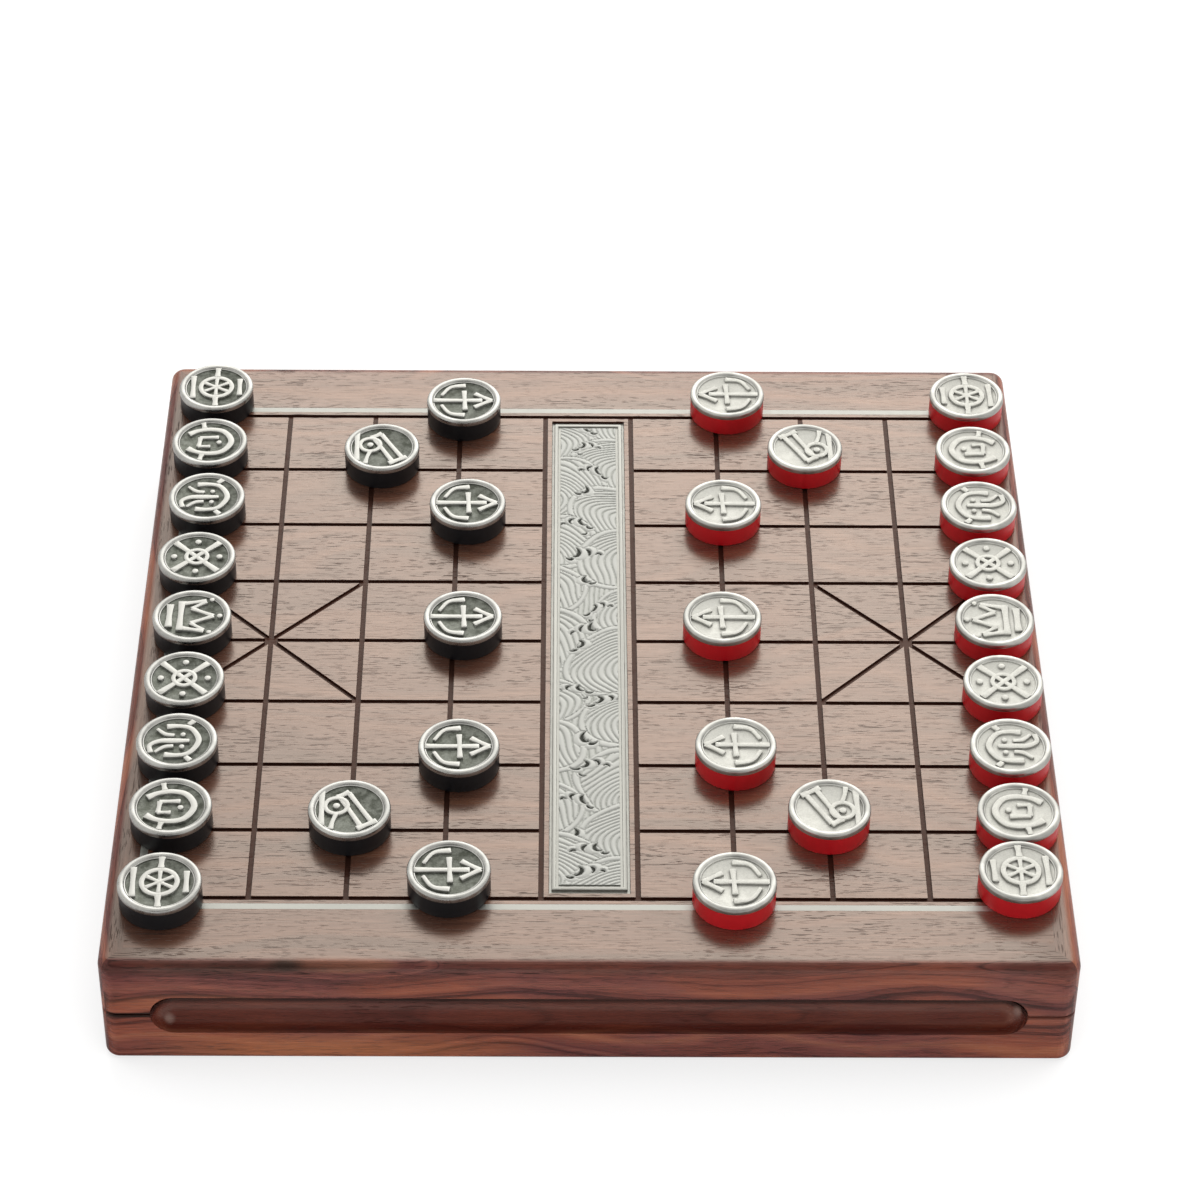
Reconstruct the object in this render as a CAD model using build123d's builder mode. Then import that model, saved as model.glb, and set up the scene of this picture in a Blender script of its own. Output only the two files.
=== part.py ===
"""Xiangqi board box: a walnut box whose lid is the playing board, and its 32 disc pieces.

Frame: origin at the centre of the underside, +X to the red side, +Y to the hinged back, +Z up.
The finger cove is in the front, at -Y. All sizes are millimetres.
"""

import os

from build123d import *

os.makedirs("parts", exist_ok=True)

# ---------------------------------------------------------------- driving dimensions
# the box
BOX_WIDTH = 350.0
BOX_DEPTH = 350.0
BASE_HEIGHT = 22.5
LID_GAP = 0.6
LID_HEIGHT = 24.9
CORNER_RADIUS = 5.5
RAIL_THICKNESS = 16.0
RAIL_LIP = 9.0
TOP_ROUND = 4.0
TOP_ARRIS = 0.2
BOTTOM_ROUND = 2.5
EASED_EDGE = 0.4

# panels, linings and what is inside
PANEL_THICKNESS = 8.0
BASE_PANEL_THICKNESS = 5.0
BAIZE_THICKNESS = 1.0
FELT_THICKNESS = 1.2
FELT_MARGIN = 0.5
DIVIDER_THICKNESS = 6.0
DIVIDER_DROP = 1.0
BUMPER_RADIUS = 2.5
BUMPER_SPACING = 300.0
BUMPER_INSET = 12.5

# the finger cove in the front
COVE_INSET = 17.5
COVE_RADIUS = 9.0

# the board
FILES = 9
RANKS = 8
GROOVE_WIDTH = 2.0
GROOVE_DEPTH = 0.9
STRIP_OFFSET = 4.2
STRIP_WIDTH = 2.8
STRIP_DEPTH = 1.5
STRIP_FIT = 0.05
STRIP_LAND = 2.0

# the river plaque
PLAQUE_INSET = 2.9
PLAQUE_FLANGE = 1.2
PLAQUE_SINK = 1.0
PLAQUE_SHOULDER = 1.3
PLAQUE_SHOULDER_END = 2.2
PLAQUE_RISE = 1.1
PLAQUE_FRAME = 2.2
PLAQUE_FIELD_DEPTH = 0.6
PLAQUE_FIT = 0.15

# the playing pieces
PIECE_GAP = 4.7
PIECE_BODY_HEIGHT = 7.7
PIECE_BODY_INSET = 0.15
PIECE_CAP_HEIGHT = 2.4
PIECE_CAP_BEVEL = 0.8
PIECE_RIM_WIDTH = 2.9
PIECE_FIELD_DEPTH = 1.0

# the hinges
HINGE_SPACING = 200.0
HINGE_LENGTH = 40.0
HINGE_LEAF_DEPTH = 12.0
HINGE_LEAF_THICKNESS = 1.5
HINGE_LEAF_GAP = 0.3
HINGE_FIT = 0.1
KNUCKLES = 5
KNUCKLE_GAP = 0.2
BARREL_RADIUS = 2.5
BARREL_STANDOFF = 0.2
PIN_RADIUS = 1.2
PIN_FIT = 0.05
SCREWS_PER_LEAF = 3
SCREW_PITCH = 14.0
SCREW_RADIUS = 1.1
SCREW_HEAD_RADIUS = 2.1
SCREW_LENGTH = 9.0
SCREW_FIT = 0.05

# ---------------------------------------------------------------- places worked out from them
LID_Z = BASE_HEIGHT + LID_GAP
BOARD_Z = LID_Z + LID_HEIGHT
SPLIT_Z = BASE_HEIGHT + LID_GAP / 2
FRONT_Y = -BOX_DEPTH / 2
BACK_Y = BOX_DEPTH / 2
INNER_WIDTH = BOX_WIDTH - 2 * RAIL_THICKNESS
INNER_DEPTH = BOX_DEPTH - 2 * RAIL_THICKNESS
REBATE_WIDTH = BOX_WIDTH - 2 * RAIL_LIP
REBATE_DEPTH = BOX_DEPTH - 2 * RAIL_LIP
BASE_PANEL_Z = BAIZE_THICKNESS
BASE_FLOOR_Z = BASE_PANEL_Z + BASE_PANEL_THICKNESS
PANEL_Z = BOARD_Z - PANEL_THICKNESS
COVE_LENGTH = BOX_WIDTH - 2 * COVE_INSET
CELL = (REBATE_WIDTH - 2 * STRIP_LAND - STRIP_WIDTH - 2 * STRIP_OFFSET) / FILES
PIECE_RADIUS = (CELL - PIECE_GAP) / 2
GRID_WIDTH = FILES * CELL
GRID_DEPTH = RANKS * CELL
STRIP_RUN_X = GRID_WIDTH + 2 * STRIP_OFFSET
STRIP_RUN_Y = GRID_DEPTH + 2 * STRIP_OFFSET
PLAQUE_WIDTH = CELL - 2 * PLAQUE_INSET
PLAQUE_LENGTH = GRID_DEPTH - 2 * PLAQUE_INSET
PLAQUE_BLOCK_WIDTH = PLAQUE_WIDTH - 2 * PLAQUE_SHOULDER
PLAQUE_BLOCK_LENGTH = PLAQUE_LENGTH - 2 * PLAQUE_SHOULDER_END
PLAQUE_POCKET = PLAQUE_SINK + PLAQUE_FLANGE
PIN_Y = BACK_Y + BARREL_STANDOFF + BARREL_RADIUS
LEAF_INNER_Y = BACK_Y - HINGE_LEAF_DEPTH
KNUCKLE_PITCH = HINGE_LENGTH / KNUCKLES
LEAF_LIFT = HINGE_LEAF_GAP / 2
MORTISE_DEPTH = HINGE_LEAF_THICKNESS + LEAF_LIFT - LID_GAP / 2
SCREW_Y = BACK_Y - HINGE_LEAF_DEPTH / 2
HINGE_CENTRES = {"left": -HINGE_SPACING / 2, "right": HINGE_SPACING / 2}
LOWER, UPPER = -1, 1


def keep(piece, name):
    """Label a finished piece and write it to its own STEP file."""
    piece.label = name
    export_step(piece, f"parts/{name}.step")


# ---------------------------------------------------------------- the two frames, before mitring
with BuildPart() as finger_cove:
    with BuildSketch(Plane.XY.offset(SPLIT_Z)):
        with Locations((0, FRONT_Y)):
            SlotOverall(COVE_LENGTH, 2 * COVE_RADIUS)
            Rectangle(COVE_LENGTH, COVE_RADIUS, align=(Align.CENTER, Align.MAX), mode=Mode.SUBTRACT)
    revolve(axis=Axis((0, FRONT_Y, SPLIT_Z), (1, 0, 0)))


def hinge_screw_places(side):
    """Screw seats of both hinges, on the leaf faces that meet; each seat's +Z points out of the wood."""
    face_z = SPLIT_Z + side * LEAF_LIFT
    first = -(SCREWS_PER_LEAF - 1) / 2
    return [
        Plane(origin=(centre + (first + i) * SCREW_PITCH, SCREW_Y, face_z), z_dir=(0, 0, -side))
        for centre in HINGE_CENTRES.values()
        for i in range(SCREWS_PER_LEAF)
    ]


def hinge_seats(side, rim_z):
    """What is cut from the rim at rim_z: mortises for the leaves and pilot holes for the screws."""
    with BuildPart() as seats:
        with BuildSketch(Plane.XY.offset(rim_z)):
            for centre in HINGE_CENTRES.values():
                with Locations((centre, BACK_Y)):
                    Rectangle(
                        HINGE_LENGTH + 2 * HINGE_FIT,
                        HINGE_LEAF_DEPTH + HINGE_FIT,
                        align=(Align.CENTER, Align.MAX),
                    )
        extrude(amount=side * MORTISE_DEPTH)
        with Locations(*hinge_screw_places(side)):
            Cylinder(
                SCREW_RADIUS + SCREW_FIT,
                SCREW_LENGTH + SCREW_FIT,
                align=(Align.CENTER, Align.CENTER, Align.MAX),
            )
    return seats.part


with BuildPart() as lid_frame:
    with BuildSketch(Plane.XY.offset(LID_Z)):
        RectangleRounded(BOX_WIDTH, BOX_DEPTH, CORNER_RADIUS)
    extrude(amount=LID_HEIGHT + TOP_ARRIS)
    fillet(edges().group_by(Axis.Z)[-1], TOP_ROUND)
    chamfer(edges().group_by(Axis.Z)[0], EASED_EDGE)
    with BuildSketch(Plane.XY.offset(BOARD_Z)):
        Rectangle(BOX_WIDTH, BOX_DEPTH)
    extrude(amount=TOP_ARRIS, mode=Mode.SUBTRACT)
    with BuildSketch(Plane.XY.offset(LID_Z)):
        Rectangle(INNER_WIDTH, INNER_DEPTH)
    extrude(amount=LID_HEIGHT, mode=Mode.SUBTRACT)
    with BuildSketch(Plane.XY.offset(PANEL_Z)):
        Rectangle(REBATE_WIDTH, REBATE_DEPTH)
    extrude(amount=PANEL_THICKNESS, mode=Mode.SUBTRACT)
    add(finger_cove.part, mode=Mode.SUBTRACT)
    add(hinge_seats(UPPER, LID_Z), mode=Mode.SUBTRACT)

with BuildPart() as base_frame:
    with BuildSketch():
        RectangleRounded(BOX_WIDTH, BOX_DEPTH, CORNER_RADIUS)
    extrude(amount=BASE_HEIGHT)
    fillet(edges().group_by(Axis.Z)[0], BOTTOM_ROUND)
    chamfer(edges().group_by(Axis.Z)[-1], EASED_EDGE)
    with BuildSketch():
        Rectangle(INNER_WIDTH, INNER_DEPTH)
    extrude(amount=BASE_HEIGHT, mode=Mode.SUBTRACT)
    with BuildSketch():
        Rectangle(REBATE_WIDTH, REBATE_DEPTH)
    extrude(amount=BASE_FLOOR_Z, mode=Mode.SUBTRACT)
    add(finger_cove.part, mode=Mode.SUBTRACT)
    add(hinge_seats(LOWER, BASE_HEIGHT), mode=Mode.SUBTRACT)


# ---------------------------------------------------------------- mitred rails
def rail_outline(side):
    """Plan of one rail: a strip along that side with ends cut at 45 degrees from the box's corners."""
    out = CORNER_RADIUS
    deep = 1.5 * RAIL_THICKNESS
    along, across = (BOX_WIDTH / 2, BOX_DEPTH / 2) if side in ("front", "back") else (BOX_DEPTH / 2, BOX_WIDTH / 2)
    corners = [
        (-along - out, -across - out),
        (along + out, -across - out),
        (along - deep, -across + deep),
        (-along + deep, -across + deep),
    ]
    turn = {"front": 0, "right": 90, "back": 180, "left": 270}[side]
    return [Vector(x, y).rotate(Axis.Z, turn) for x, y in corners]


for frame_name, frame in {"lid": lid_frame, "base": base_frame}.items():
    for side in ("front", "right", "back", "left"):
        with BuildPart() as rail:
            add(frame.part)
            with BuildSketch():
                with BuildLine():
                    Polyline(*rail_outline(side), close=True)
                make_face()
            extrude(amount=BOARD_Z, mode=Mode.INTERSECT)
        keep(rail.part, f"{frame_name}_{side}_rail")

# ---------------------------------------------------------------- the playing board


def file_x(number):
    """X of a line that runs front to back, 0 at the black back rank to FILES at the red one."""
    return (number - FILES / 2) * CELL


def rank_y(number):
    """Y of a line that runs left to right, 0 at the back to RANKS at the front."""
    return (RANKS / 2 - number) * CELL


RIVER_FILES = (FILES // 2, FILES // 2 + 1)
PALACE_FILES = (1, FILES - 1)
PALACE_RANK = RANKS / 2

with BuildPart() as board_panel:
    with BuildSketch(Plane.XY.offset(PANEL_Z)):
        Rectangle(REBATE_WIDTH, REBATE_DEPTH)
    extrude(amount=PANEL_THICKNESS)
    # the routed grid: files run right through, ranks stop at the river except the outermost two
    with BuildSketch(Plane.XY.offset(BOARD_Z)):
        for number in range(FILES + 1):
            with Locations((file_x(number), 0)):
                Rectangle(GROOVE_WIDTH, GRID_DEPTH + GROOVE_WIDTH)
        for number in (0, RANKS):
            with Locations((0, rank_y(number))):
                Rectangle(GRID_WIDTH, GROOVE_WIDTH)
        half_board = RIVER_FILES[0] * CELL
        for number in range(1, RANKS):
            for centre in (file_x(0) + half_board / 2, file_x(FILES) - half_board / 2):
                with Locations((centre, rank_y(number))):
                    Rectangle(half_board, GROOVE_WIDTH)
        for palace in PALACE_FILES:
            with Locations((file_x(palace), rank_y(PALACE_RANK))):
                for turn in (45, -45):
                    Rectangle(2 * CELL * 2**0.5, GROOVE_WIDTH, rotation=turn)
    extrude(amount=-GROOVE_DEPTH, mode=Mode.SUBTRACT)
    # the channel for the border strips
    with BuildSketch(Plane.XY.offset(BOARD_Z)):
        channel = STRIP_WIDTH + 2 * STRIP_FIT
        Rectangle(STRIP_RUN_X + channel, STRIP_RUN_Y + channel)
        Rectangle(STRIP_RUN_X - channel, STRIP_RUN_Y - channel, mode=Mode.SUBTRACT)
    extrude(amount=-STRIP_DEPTH, mode=Mode.SUBTRACT)
    # the pocket for the river plaque
    with BuildSketch(Plane.XY.offset(BOARD_Z)):
        Rectangle(PLAQUE_WIDTH + 2 * PLAQUE_FIT, PLAQUE_LENGTH + 2 * PLAQUE_FIT)
    extrude(amount=-PLAQUE_POCKET, mode=Mode.SUBTRACT)
keep(board_panel.part, "board_panel")

with BuildPart() as river_plaque:
    plaque_bed = BOARD_Z - PLAQUE_POCKET
    with BuildSketch(Plane.XY.offset(plaque_bed)):
        Rectangle(PLAQUE_WIDTH, PLAQUE_LENGTH)
    extrude(amount=PLAQUE_FLANGE)
    with BuildSketch(Plane.XY.offset(plaque_bed + PLAQUE_FLANGE)):
        Rectangle(PLAQUE_BLOCK_WIDTH, PLAQUE_BLOCK_LENGTH)
    extrude(amount=PLAQUE_RISE)
    block_rim = faces().sort_by(Axis.Z)[-1].edges()
    chamfer(block_rim, PLAQUE_RISE / 4)
    with BuildSketch(Plane.XY.offset(plaque_bed + PLAQUE_FLANGE + PLAQUE_RISE)):
        Rectangle(PLAQUE_BLOCK_WIDTH - 2 * PLAQUE_FRAME, PLAQUE_BLOCK_LENGTH - 2 * PLAQUE_FRAME)
    extrude(amount=-PLAQUE_FIELD_DEPTH, mode=Mode.SUBTRACT)
keep(river_plaque.part, "river_plaque")

for side, run, other_run, turn in (
    ("front", STRIP_RUN_X, STRIP_RUN_Y, 0),
    ("right", STRIP_RUN_Y, STRIP_RUN_X, 90),
    ("back", STRIP_RUN_X, STRIP_RUN_Y, 180),
    ("left", STRIP_RUN_Y, STRIP_RUN_X, 270),
):
    half = STRIP_WIDTH / 2
    mitred_bar = [
        (-run / 2 - half, -other_run / 2 - half),
        (run / 2 + half, -other_run / 2 - half),
        (run / 2 - half, -other_run / 2 + half),
        (-run / 2 + half, -other_run / 2 + half),
    ]
    with BuildPart() as strip:
        with BuildSketch(Plane.XY.offset(BOARD_Z - STRIP_DEPTH)):
            with BuildLine():
                Polyline(*[Vector(x, y).rotate(Axis.Z, turn) for x, y in mitred_bar], close=True)
            make_face()
        extrude(amount=STRIP_DEPTH)
    keep(strip.part, f"border_strip_{side}")

# ---------------------------------------------------------------- linings and what is inside the box
with BuildPart() as lid_lining:
    with BuildSketch(Plane.XY.offset(PANEL_Z - FELT_THICKNESS)):
        Rectangle(INNER_WIDTH - 2 * FELT_MARGIN, INNER_DEPTH - 2 * FELT_MARGIN)
    extrude(amount=FELT_THICKNESS)
keep(lid_lining.part, "lid_lining")

with BuildPart() as underside_baize:
    with BuildSketch():
        Rectangle(REBATE_WIDTH, REBATE_DEPTH)
    extrude(amount=BAIZE_THICKNESS)
keep(underside_baize.part, "underside_baize")

with BuildPart() as base_panel:
    with BuildSketch(Plane.XY.offset(BASE_PANEL_Z)):
        Rectangle(REBATE_WIDTH, REBATE_DEPTH)
    extrude(amount=BASE_PANEL_THICKNESS)
keep(base_panel.part, "base_panel")

with BuildPart() as bay_divider:
    with BuildSketch(Plane.XY.offset(BASE_FLOOR_Z)):
        Rectangle(DIVIDER_THICKNESS, INNER_DEPTH)
    extrude(amount=BASE_HEIGHT - DIVIDER_DROP - BASE_FLOOR_Z)
keep(bay_divider.part, "bay_divider")

BAY_WIDTH = (INNER_WIDTH - DIVIDER_THICKNESS) / 2
with BuildPart() as bay_felts:
    with BuildSketch(Plane.XY.offset(BASE_FLOOR_Z)):
        for sign in (-1, 1):
            with Locations((sign * (DIVIDER_THICKNESS + BAY_WIDTH) / 2, 0)):
                Rectangle(BAY_WIDTH - 2 * FELT_MARGIN, INNER_DEPTH - 2 * FELT_MARGIN)
    extrude(amount=FELT_THICKNESS)
keep(bay_felts.part, "bay_felts")

with BuildPart() as lid_bumpers:
    with BuildSketch(Plane.XY.offset(BASE_HEIGHT)):
        for sign in (-1, 1):
            with Locations((sign * BUMPER_SPACING / 2, FRONT_Y + BUMPER_INSET)):
                Circle(BUMPER_RADIUS)
    extrude(amount=LID_GAP)
keep(lid_bumpers.part, "lid_bumpers")

# ---------------------------------------------------------------- hinges


def round_bar(first_x, length, radius):
    """A round bar along the pin's axis."""
    with BuildPart() as bar:
        with BuildSketch(Plane.YZ.offset(first_x)):
            with Locations((PIN_Y, SPLIT_Z)):
                Circle(radius)
        extrude(amount=length)
    return bar.part


for hinge_name, centre in HINGE_CENTRES.items():
    start = centre - HINGE_LENGTH / 2
    for leaf_name, side in (("lower", LOWER), ("upper", UPPER)):
        own_first = 0 if side == LOWER else 1
        with BuildPart() as leaf:
            with BuildSketch(Plane.XY.offset(SPLIT_Z + side * LEAF_LIFT)):
                with Locations((centre, PIN_Y)):
                    Rectangle(HINGE_LENGTH, PIN_Y - LEAF_INNER_Y, align=(Align.CENTER, Align.MAX))
            extrude(amount=side * HINGE_LEAF_THICKNESS)
            add(round_bar(start, HINGE_LENGTH, BARREL_RADIUS))
            for knuckle in range(1 - own_first, KNUCKLES, 2):
                gap_start = start + knuckle * KNUCKLE_PITCH - KNUCKLE_GAP / 2
                clearance = round_bar(gap_start, KNUCKLE_PITCH + KNUCKLE_GAP, BARREL_RADIUS + KNUCKLE_GAP)
                add(clearance, mode=Mode.SUBTRACT)
            add(round_bar(start, HINGE_LENGTH, PIN_RADIUS + PIN_FIT), mode=Mode.SUBTRACT)
            own_screws = [place for place in hinge_screw_places(side) if abs(place.origin.X - centre) < HINGE_LENGTH / 2]
            with Locations(*own_screws):
                CounterSinkHole(SCREW_RADIUS + SCREW_FIT, SCREW_HEAD_RADIUS + SCREW_FIT, counter_sink_angle=90)
        keep(leaf.part, f"{hinge_name}_hinge_{leaf_name}_leaf")

with BuildPart() as hinge_pins:
    for centre in HINGE_CENTRES.values():
        add(round_bar(centre - HINGE_LENGTH / 2, HINGE_LENGTH, PIN_RADIUS))
keep(hinge_pins.part, "hinge_pins")

with BuildPart() as one_screw:
    with BuildSketch(Plane.XZ):
        with BuildLine():
            Polyline(
                (0, 0),
                (SCREW_HEAD_RADIUS, 0),
                (SCREW_RADIUS, SCREW_RADIUS - SCREW_HEAD_RADIUS),
                (SCREW_RADIUS, 2 * SCREW_RADIUS - SCREW_LENGTH),
                (0, -SCREW_LENGTH),
                close=True,
            )
        make_face()
    revolve(axis=Axis.Z)

for body_name, side in (("base", LOWER), ("lid", UPPER)):
    with BuildPart() as hinge_screws:
        with Locations(*hinge_screw_places(side)):
            add(one_screw.part)
    keep(hinge_screws.part, f"{body_name}_hinge_screws")

# ---------------------------------------------------------------- playing pieces
# Each place is a file and rank number, and how far the piece was set down off that crossing.
PIECE_PLACES = {
    "chariot_1": (0, 0, (4.2, 7.0), (-1.5, 3.6)),
    "horse_1": (0, 1, (4.1, 6.0), (-1.6, 2.6)),
    "elephant_1": (0, 2, (5.4, 5.5), (-2.0, 2.1)),
    "advisor_1": (0, 3, (4.1, 3.5), (-1.1, 1.6)),
    "general": (0, 4, (4.8, 3.1), (-1.2, 2.7)),
    "advisor_2": (0, 5, (4.6, 2.3), (-0.8, 2.0)),
    "elephant_2": (0, 6, (4.5, 2.5), (-1.0, 1.1)),
    "horse_2": (0, 7, (4.9, 2.3), (-1.0, 1.2)),
    "chariot_2": (0, 8, (4.0, -1.7), (-2.8, 5.6)),
    "cannon_1": (2, 1, (3.9, 2.8), (0.3, 3.7)),
    "cannon_2": (2, 7, (0.0, 1.4), (0.1, 2.8)),
    "soldier_1": (3, 0, (1.4, -1.2), (4.8, 3.8)),
    "soldier_2": (3, 2, (4.4, 2.5), (1.2, 2.6)),
    "soldier_3": (3, 4, (4.0, 3.4), (-1.1, 3.6)),
    "soldier_4": (3, 6, (4.1, 0.0), (1.9, 1.4)),
    "soldier_5": (3, 8, (2.0, 5.0), (-0.7, -0.6)),
}


def turned(centre, outline):
    """A solid turned about the upright axis through centre, from an outline of (radius, height) points."""
    with BuildPart() as lathe:
        with BuildSketch(Plane(origin=centre, x_dir=(1, 0, 0), z_dir=(0, -1, 0))):
            with BuildLine():
                Polyline(*outline, close=True)
            make_face()
        revolve(axis=Axis(centre, (0, 0, 1)))
    return lathe.part


def playing_piece(name, x, y):
    """A coloured disc body with a pewter cap: the cap has a rim and a sunk field."""
    body_radius = PIECE_RADIUS - PIECE_BODY_INSET
    body = turned(
        (x, y, BOARD_Z),
        [(0, 0), (body_radius, 0), (body_radius, PIECE_BODY_HEIGHT), (0, PIECE_BODY_HEIGHT)],
    )
    field_radius = PIECE_RADIUS - PIECE_RIM_WIDTH
    field_height = PIECE_CAP_HEIGHT - PIECE_FIELD_DEPTH
    cap = turned(
        (x, y, BOARD_Z + PIECE_BODY_HEIGHT),
        [
            (0, 0),
            (PIECE_RADIUS, 0),
            (PIECE_RADIUS, PIECE_CAP_HEIGHT - PIECE_CAP_BEVEL),
            (PIECE_RADIUS - PIECE_CAP_BEVEL, PIECE_CAP_HEIGHT),
            (field_radius, PIECE_CAP_HEIGHT),
            (field_radius, field_height),
            (0, field_height),
        ],
    )
    keep(Compound(children=[body, cap]), name)


for piece_name, (file_number, rank_number, black_shift, red_shift) in PIECE_PLACES.items():
    playing_piece(
        f"black_{piece_name}",
        file_x(file_number) + black_shift[0],
        rank_y(rank_number) + black_shift[1],
    )
    playing_piece(
        f"red_{piece_name}",
        file_x(FILES - file_number) + red_shift[0],
        rank_y(rank_number) + red_shift[1],
    )
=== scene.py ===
# %% [markdown]
# # A walnut xiangqi box that is also its playing board
# The box is a shallow walnut case, 350 mm square. Its hinged lid is the board: a grid routed into
# the wood, a thin pewter line let in round it, and a cast pewter plaque where the river lies
# between the two sides. Thirty-two pieces stand on it, each a coloured disc with a cast pewter cap.
#
# The imported CAD model gives every place and size. It is loaded first and its box is kept.

# %% Load the frame
import math
from functools import partial

import bmesh
import bpy
from mathutils import Matrix, Vector, noise


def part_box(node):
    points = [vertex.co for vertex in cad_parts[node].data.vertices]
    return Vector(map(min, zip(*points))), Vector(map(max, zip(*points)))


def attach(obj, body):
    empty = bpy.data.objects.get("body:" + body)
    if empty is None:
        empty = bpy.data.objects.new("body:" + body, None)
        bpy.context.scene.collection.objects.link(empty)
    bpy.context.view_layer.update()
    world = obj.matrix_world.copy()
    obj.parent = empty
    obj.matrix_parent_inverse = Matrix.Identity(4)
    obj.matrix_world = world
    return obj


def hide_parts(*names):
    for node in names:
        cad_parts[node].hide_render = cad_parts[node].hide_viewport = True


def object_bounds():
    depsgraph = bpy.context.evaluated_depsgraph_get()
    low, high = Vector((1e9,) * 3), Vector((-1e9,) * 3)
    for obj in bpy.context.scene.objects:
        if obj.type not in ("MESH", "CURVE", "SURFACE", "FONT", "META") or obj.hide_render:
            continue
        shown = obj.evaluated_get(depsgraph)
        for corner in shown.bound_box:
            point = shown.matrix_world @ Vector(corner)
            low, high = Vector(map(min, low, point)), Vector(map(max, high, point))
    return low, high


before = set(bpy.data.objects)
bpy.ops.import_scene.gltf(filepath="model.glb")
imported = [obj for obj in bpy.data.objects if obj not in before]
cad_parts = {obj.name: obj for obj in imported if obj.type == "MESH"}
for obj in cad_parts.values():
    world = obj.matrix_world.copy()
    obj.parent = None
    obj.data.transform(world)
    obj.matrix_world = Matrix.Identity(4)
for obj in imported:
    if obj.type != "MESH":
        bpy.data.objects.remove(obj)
cad_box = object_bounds()
MM = 0.001
print("CAD box in mm", [[round(v / MM, 2) for v in corner] for corner in cad_box])

# %% [markdown]
# Colours are written as the hex numbers that a paint chart or an image editor shows. Cycles works
# in linear light, so one function turns them over.
#
# A material is a tree of nodes. One small function adds a node, sets its properties, and fills
# each socket with either a plain value or the output of an earlier node. A colour ramp is the
# only node with a list of stops, so the function takes those too.
#
# Several sockets of one node can share a name, so those are given by number. In a Map Range, 0 is
# the value, 1 and 2 are the ends of the range it comes from, and 3 and 4 those of the range it
# goes to, which are 0 and 1 when left out. In a Mix of colours, 0 is the share and 6 and 7 are the
# colours. Settings that come back all the time have a name of their own.

# %% Colours and nodes
SMOOTH = {"interpolation_type": "SMOOTHSTEP"}
SMOOTHER = {"interpolation_type": "SMOOTHERSTEP"}
COLOURS = {"data_type": "RGBA", "out": 2}
LENGTH = {"operation": "LENGTH", "out": "Value"}
DOT = {"operation": "DOT_PRODUCT", "out": "Value"}
TIMES = {"operation": "MULTIPLY"}


def linear(hex_colour):
    """An sRGB hex colour as linear red, green, blue and alpha."""
    parts = [int(hex_colour[i : i + 2], 16) / 255 for i in (1, 3, 5)]
    return [c / 12.92 if c <= 0.04045 else ((c + 0.055) / 1.055) ** 2.4 for c in parts] + [1.0]


def add_node(tree, kind, inputs=None, stops=None, out=0, **settings):
    """Adds one node with its settings and links, and returns the output asked for."""
    node = tree.nodes.new("ShaderNode" + kind)
    for name, value in settings.items():
        setattr(node, name, value)
    for socket, value in (inputs or {}).items():
        if isinstance(value, bpy.types.NodeSocket):
            tree.links.new(value, node.inputs[socket])
        else:
            node.inputs[socket].default_value = value
    if stops:
        ramp = node.color_ramp.elements
        while len(ramp) < len(stops):
            ramp.new(1.0)
        for stop, (place, colour) in zip(ramp, stops):
            stop.position = place
            stop.color = linear(colour)
    return node.outputs[out] if len(node.outputs) else node


def new_material(name):
    """An empty material, and the function that adds a node to it."""
    material = bpy.data.materials.new(name)
    material.use_nodes = True
    material.node_tree.nodes.clear()
    return material, partial(add_node, material.node_tree)


# %% [markdown]
# The camera looks down on the board at about forty degrees from in front, through a long lens, so
# the box narrows only a little towards the back. A roll and a yaw of under one degree
# remain, as they do in most hand-set shots.

# %% Camera
CAMERA_PLACE = (-0.0095, -1.1429, 1.0530)
FOCAL_LENGTH, SENSOR_WIDTH = 117.63, 36.0
pitch, yaw, roll = (math.radians(angle) for angle in (40.72, 0.685, 0.672))
forward = Vector((math.sin(yaw) * math.cos(pitch), math.cos(yaw) * math.cos(pitch), -math.sin(pitch)))
level_right = Vector((math.cos(yaw), -math.sin(yaw), 0.0))
level_up = level_right.cross(forward)
right = math.cos(roll) * level_right + math.sin(roll) * level_up
up = -math.sin(roll) * level_right + math.cos(roll) * level_up
lens = bpy.data.cameras.new("camera")
lens.lens = FOCAL_LENGTH
lens.sensor_width = SENSOR_WIDTH
lens.clip_end = 100.0
camera = bpy.data.objects.new("camera", lens)
bpy.context.collection.objects.link(camera)
aim = Matrix((right, up, -forward)).transposed().to_4x4()
camera.matrix_world = Matrix.Translation(CAMERA_PLACE) @ aim
bpy.context.scene.camera = camera
print("camera looks along", [round(v, 3) for v in forward])

# %% [markdown]
# The stage is a white sweep under a dome of light, as in a product studio. Most of the light comes
# from low down all round, so the upright sides aren't left dark, and a little more of it comes from
# the back than from the front. A camera ray that reaches the dome sees plain white.
#
# A reflection sees a room instead. It is pale, but darker on the side where the camera stands,
# because polished rims need something dark to show, or they look like paper. High behind the
# board hangs a broad bright panel, and its mirror image is the pale veil on the lacquered top.

# %% World
HORIZON, FRONT_SKY, BACK_SKY = 3.7, 0.20, 0.44
ROOM, DARK_SIDE, PANEL = 0.90, 0.30, 1.95
TO_DARK_SIDE, TO_PANEL = (0.0, -0.73, 0.68), (0.11, 0.885, 0.45)


def seen_straight(add):
    """1 for a ray that comes from the camera or has only passed through something clear."""
    is_camera = add("LightPath", out="Is Camera Ray")
    is_through = add("LightPath", out="Is Transmission Ray")
    return add("Math", {0: is_camera, 1: is_through}, operation="MAXIMUM")


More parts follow.
